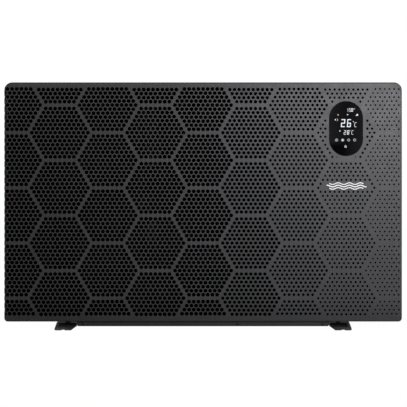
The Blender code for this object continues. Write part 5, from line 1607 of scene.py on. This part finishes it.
# ------------------------------------------------------------------ rear fittings
def rear_fittings():
    gx, gz = 300.0, 470.0
    bm = bmesh.new()
    lathe(bm, "Y", (gx, gz), [(0, 190), (25, 190), (27, 192), (27, 210.4), (30, 210.4), (30, 214), (28.5, 216.5), (25, 216.5), (25, 205), (0, 205)], 80, 0.7)
    plate(bm, "Y", [ring_pts(gx, gz, 24.7, 72)], (205.05, 205.4), 0.05, 1, mat=1)
    p = Plotter((gx, 205.42, gz), (-1, 0, 0), (0, 0, 1), (0, 1, 0), 0.1)
    for k in range(41):
        a = math.radians(225 - 270 * k / 40)
        long_ = k % 10 == 0
        r0, r1 = (17.6 if long_ else (19.2 if k % 5 == 0 else 20.4)), 22.4
        p.line([(r0 * math.cos(a), r0 * math.sin(a)), (r1 * math.cos(a), r1 * math.sin(a))], 0.55 if long_ else 0.3)
    p.line(arc(0, 0, 22.6, -45, 225, 60), 0.35)
    for k, text in enumerate(("0", "1", "2", "3", "4")):
        a = math.radians(225 - 270 * k / 4)
        p.digits(text, 13.6 * math.cos(a) - 1.3, 13.6 * math.sin(a) - 2.1, 4.2, 2.6, 0.6, 0.5)
    me = bpy.data.meshes.new("tmp_dial")
    p.bm.to_mesh(me)
    p.bm.free()
    start = len(bm.faces)
    bm.from_mesh(me)
    bm.faces.ensure_lookup_table()
    for f in bm.faces[start:]:
        f.material_index = 2
    bpy.data.meshes.remove(me)
    piece("pressure_gauge", bm, [STEEL, WHITE, INK], angle=40, weld=False)
    bm = bmesh.new()
    plate(bm, "Y", [[(gx - 1.2, gz - 7), (gx + 1.2, gz - 7), (gx + 0.8, gz + 8), (gx, gz + 19), (gx - 0.8, gz + 8)]], (206.6, 207.4), 0.15, 1)
    lathe(bm, "Y", (gx, gz), [(0, 206), (3, 206), (3, 208.4), (0, 208.4)], 32, 0.5)
    piece("gauge_needle", bm, INK, "gauge_pointer", weld=False)
    bm = bmesh.new()
    lathe(bm, "Y", (gx, gz), [(0, 213), (24.3, 213), (24.6, 213.3), (24.6, 214.2), (23.8, 214.6), (0, 214.6)], 72, 0.2)
    piece("gauge_lens", bm, LENS, angle=40)

    x, z = 215.0, 150.0
    bm = bmesh.new()
    lathe(bm, "Y", (x, z), [(4.5, 194), (8, 194), (8, 211), (4.5, 211)], 40, 0.4, closed=True)
    plate(bm, "Y", [filleted(ring_pts(x, z, 13.0, 6), 1.0, True, 3), ring_pts(x, z, 4.5, 32)], (210.4, 217), 0.8, 3)
    n = 72

    def knurl(r, depth):
        return [(x + (r - depth * (i % 3 == 0)) * math.cos(2 * math.pi * i / n), z + (r - depth * (i % 3 == 0)) * math.sin(2 * math.pi * i / n)) for i in range(n)]

    rings = [(ring_pts(x, z, 10.4, n), 217.0), (ring_pts(x, z, 11.0, n), 217.6), (knurl(11.0, 0.5), 218.0), (knurl(10.6, 0.5), 225.6), (ring_pts(x, z, 9.6, n), 226.6),
             (ring_pts(x, z, 7.6, n), 230.4), (ring_pts(x, z, 6.6, n), 231.0), (ring_pts(x, z, 4.5, n), 230.6), (ring_pts(x, z, 4.5, n), 217.0)]
    loops = loft(bm, rings, "Y", False, False)
    for i in range(n):
        bm.faces.new((loops[-1][i], loops[-1][(i + 1) % n], loops[0][(i + 1) % n], loops[0][i]))
    piece("cable_gland", bm, BLACK, angle=35, weld=False)


rear_fittings()
left = [n for n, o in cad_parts.items() if not o.hide_render]
print("nodes without a finish piece:", left)


# ------------------------------------------------------------------ stage, light, camera
def stage():
    me = mesh("studio_floor", [(-9, -9, 0), (9, -9, 0), (9, 9, 0), (-9, 9, 0)], [(0, 1, 2, 3)])
    ob = bpy.data.objects.new("studio_floor", me)
    bpy.context.scene.collection.objects.link(ob)
    ob.location.z = -0.0004
    m, nt, p = nodes_of("studio_floor")
    p.inputs["Base Color"].default_value = (0.82, 0.82, 0.82, 1)
    p.inputs["Roughness"].default_value = 0.9
    p.inputs["Specular IOR Level"].default_value = 0.0
    em = nt.nodes.new("ShaderNodeEmission")
    em.inputs["Strength"].default_value = 1.04
    mixer = nt.nodes.new("ShaderNodeMixShader")
    path = nt.nodes.new("ShaderNodeLightPath")
    fac = math_node(nt, "MULTIPLY", path.outputs["Is Camera Ray"], 0.95)
    nt.links.new(fac, mixer.inputs[0])
    nt.links.new(p.outputs[0], mixer.inputs[1])
    nt.links.new(em.outputs[0], mixer.inputs[2])
    nt.links.new(mixer.outputs[0], nt.nodes["Material Output"].inputs[0])
    me.materials.append(m)


def area(name, at, target, size, power, rgb=(1, 1, 1), size_y=None, spread=180):
    l = bpy.data.lights.new(name, "AREA")
    l.energy, l.color, l.size = power, rgb, size
    if size_y:
        l.shape, l.size_y = "RECTANGLE", size_y
    l.spread = math.radians(spread)
    ob = bpy.data.objects.new(name, l)
    bpy.context.scene.collection.objects.link(ob)
    ob.location = at
    ob.rotation_euler = (Vector(target) - Vector(at)).to_track_quat("-Z", "Y").to_euler()
    ob.visible_camera = False
    return ob


stage()
w = bpy.data.worlds.new("studio")
bpy.context.scene.world = w
w.use_nodes = True
nt = w.node_tree
bg = nt.nodes["Background"]
bg.inputs["Color"].default_value = (0.05, 0.05, 0.05, 1)
bg2 = nt.nodes.new("ShaderNodeBackground")
bg2.inputs["Color"].default_value = (1, 1, 1, 1)
path = nt.nodes.new("ShaderNodeLightPath")
mixer = nt.nodes.new("ShaderNodeMixShader")
nt.links.new(path.outputs["Is Camera Ray"], mixer.inputs[0])
nt.links.new(bg.outputs[0], mixer.inputs[1])
nt.links.new(bg2.outputs[0], mixer.inputs[2])
nt.links.new(mixer.outputs[0], nt.nodes["World Output"].inputs[0])

key = area("soft_key", (0.60, -1.10, 0.78), (0.40, -0.24, 0.5), 0.82, 11.3, (1.0, 0.985, 1.045))
fill = area("fill", (-0.6, -2.6, 1.6), (0, -0.24, 0.4), 1.2, 12.6, (1.0, 1.0, 1.0))
low = area("low_strip", (0.0, -1.5, 0.19), (0, -0.22, 0.02), 1.6, 70.0, (1, 1, 1), 0.36)


def linked(light, names, state):
    """Keeps a light to the named objects (INCLUDE) or off them (EXCLUDE)."""
    group = bpy.data.collections.new(light.name + "_receivers")
    for name in names:
        group.objects.link(bpy.data.objects[name])
    light.light_linking.receiver_collection = group
    for one in group.collection_objects:
        one.light_linking.link_state = state


inside = tuple(n + "_look" for n in ("fan_impeller", "motor_shaft", "fan_nut", "fan_motor", "motor_bracket", "evaporator_coil", "fan_shroud",
                                     "coil_end_plate", "partition_panel", "base_pan"))
linked(key, ("display_glass_look", "display_symbols", "foot_left_look", "foot_right_look") + inside, "EXCLUDE")
linked(fill, ("foot_left_look", "foot_right_look") + inside, "EXCLUDE")
linked(low, ("foot_left_look", "foot_right_look"), "INCLUDE")
area("rear_soft", (-1.2, 2.3, 0.75), (0, 0.2, 0.3), 1.1, 30)
area("rear_right", (1.9, 1.3, 0.8), (0.3, 0.1, 0.3), 1.0, 15)

cam = bpy.data.cameras.new("camera")
cam_ob = bpy.data.objects.new("camera", cam)
bpy.context.scene.collection.objects.link(cam_ob)
DIST = 4.0
FRAME_W = 407 * 2.5126 / 1000
cam.sensor_width = 36
cam.lens = 36 * DIST / FRAME_W
cam_ob.location = V(1.05, FACE - DIST * 1000, 370)
cam_ob.rotation_euler = (math.radians(90), 0, 0)
cam.shift_y = ((321.5 - 203.5) * 2.5176 + 22 - 370) / 1000 / FRAME_W
cam.clip_start, cam.clip_end = 0.1, 50
bpy.context.scene.camera = cam_ob
bpy.context.scene.view_settings.view_transform = "Standard"
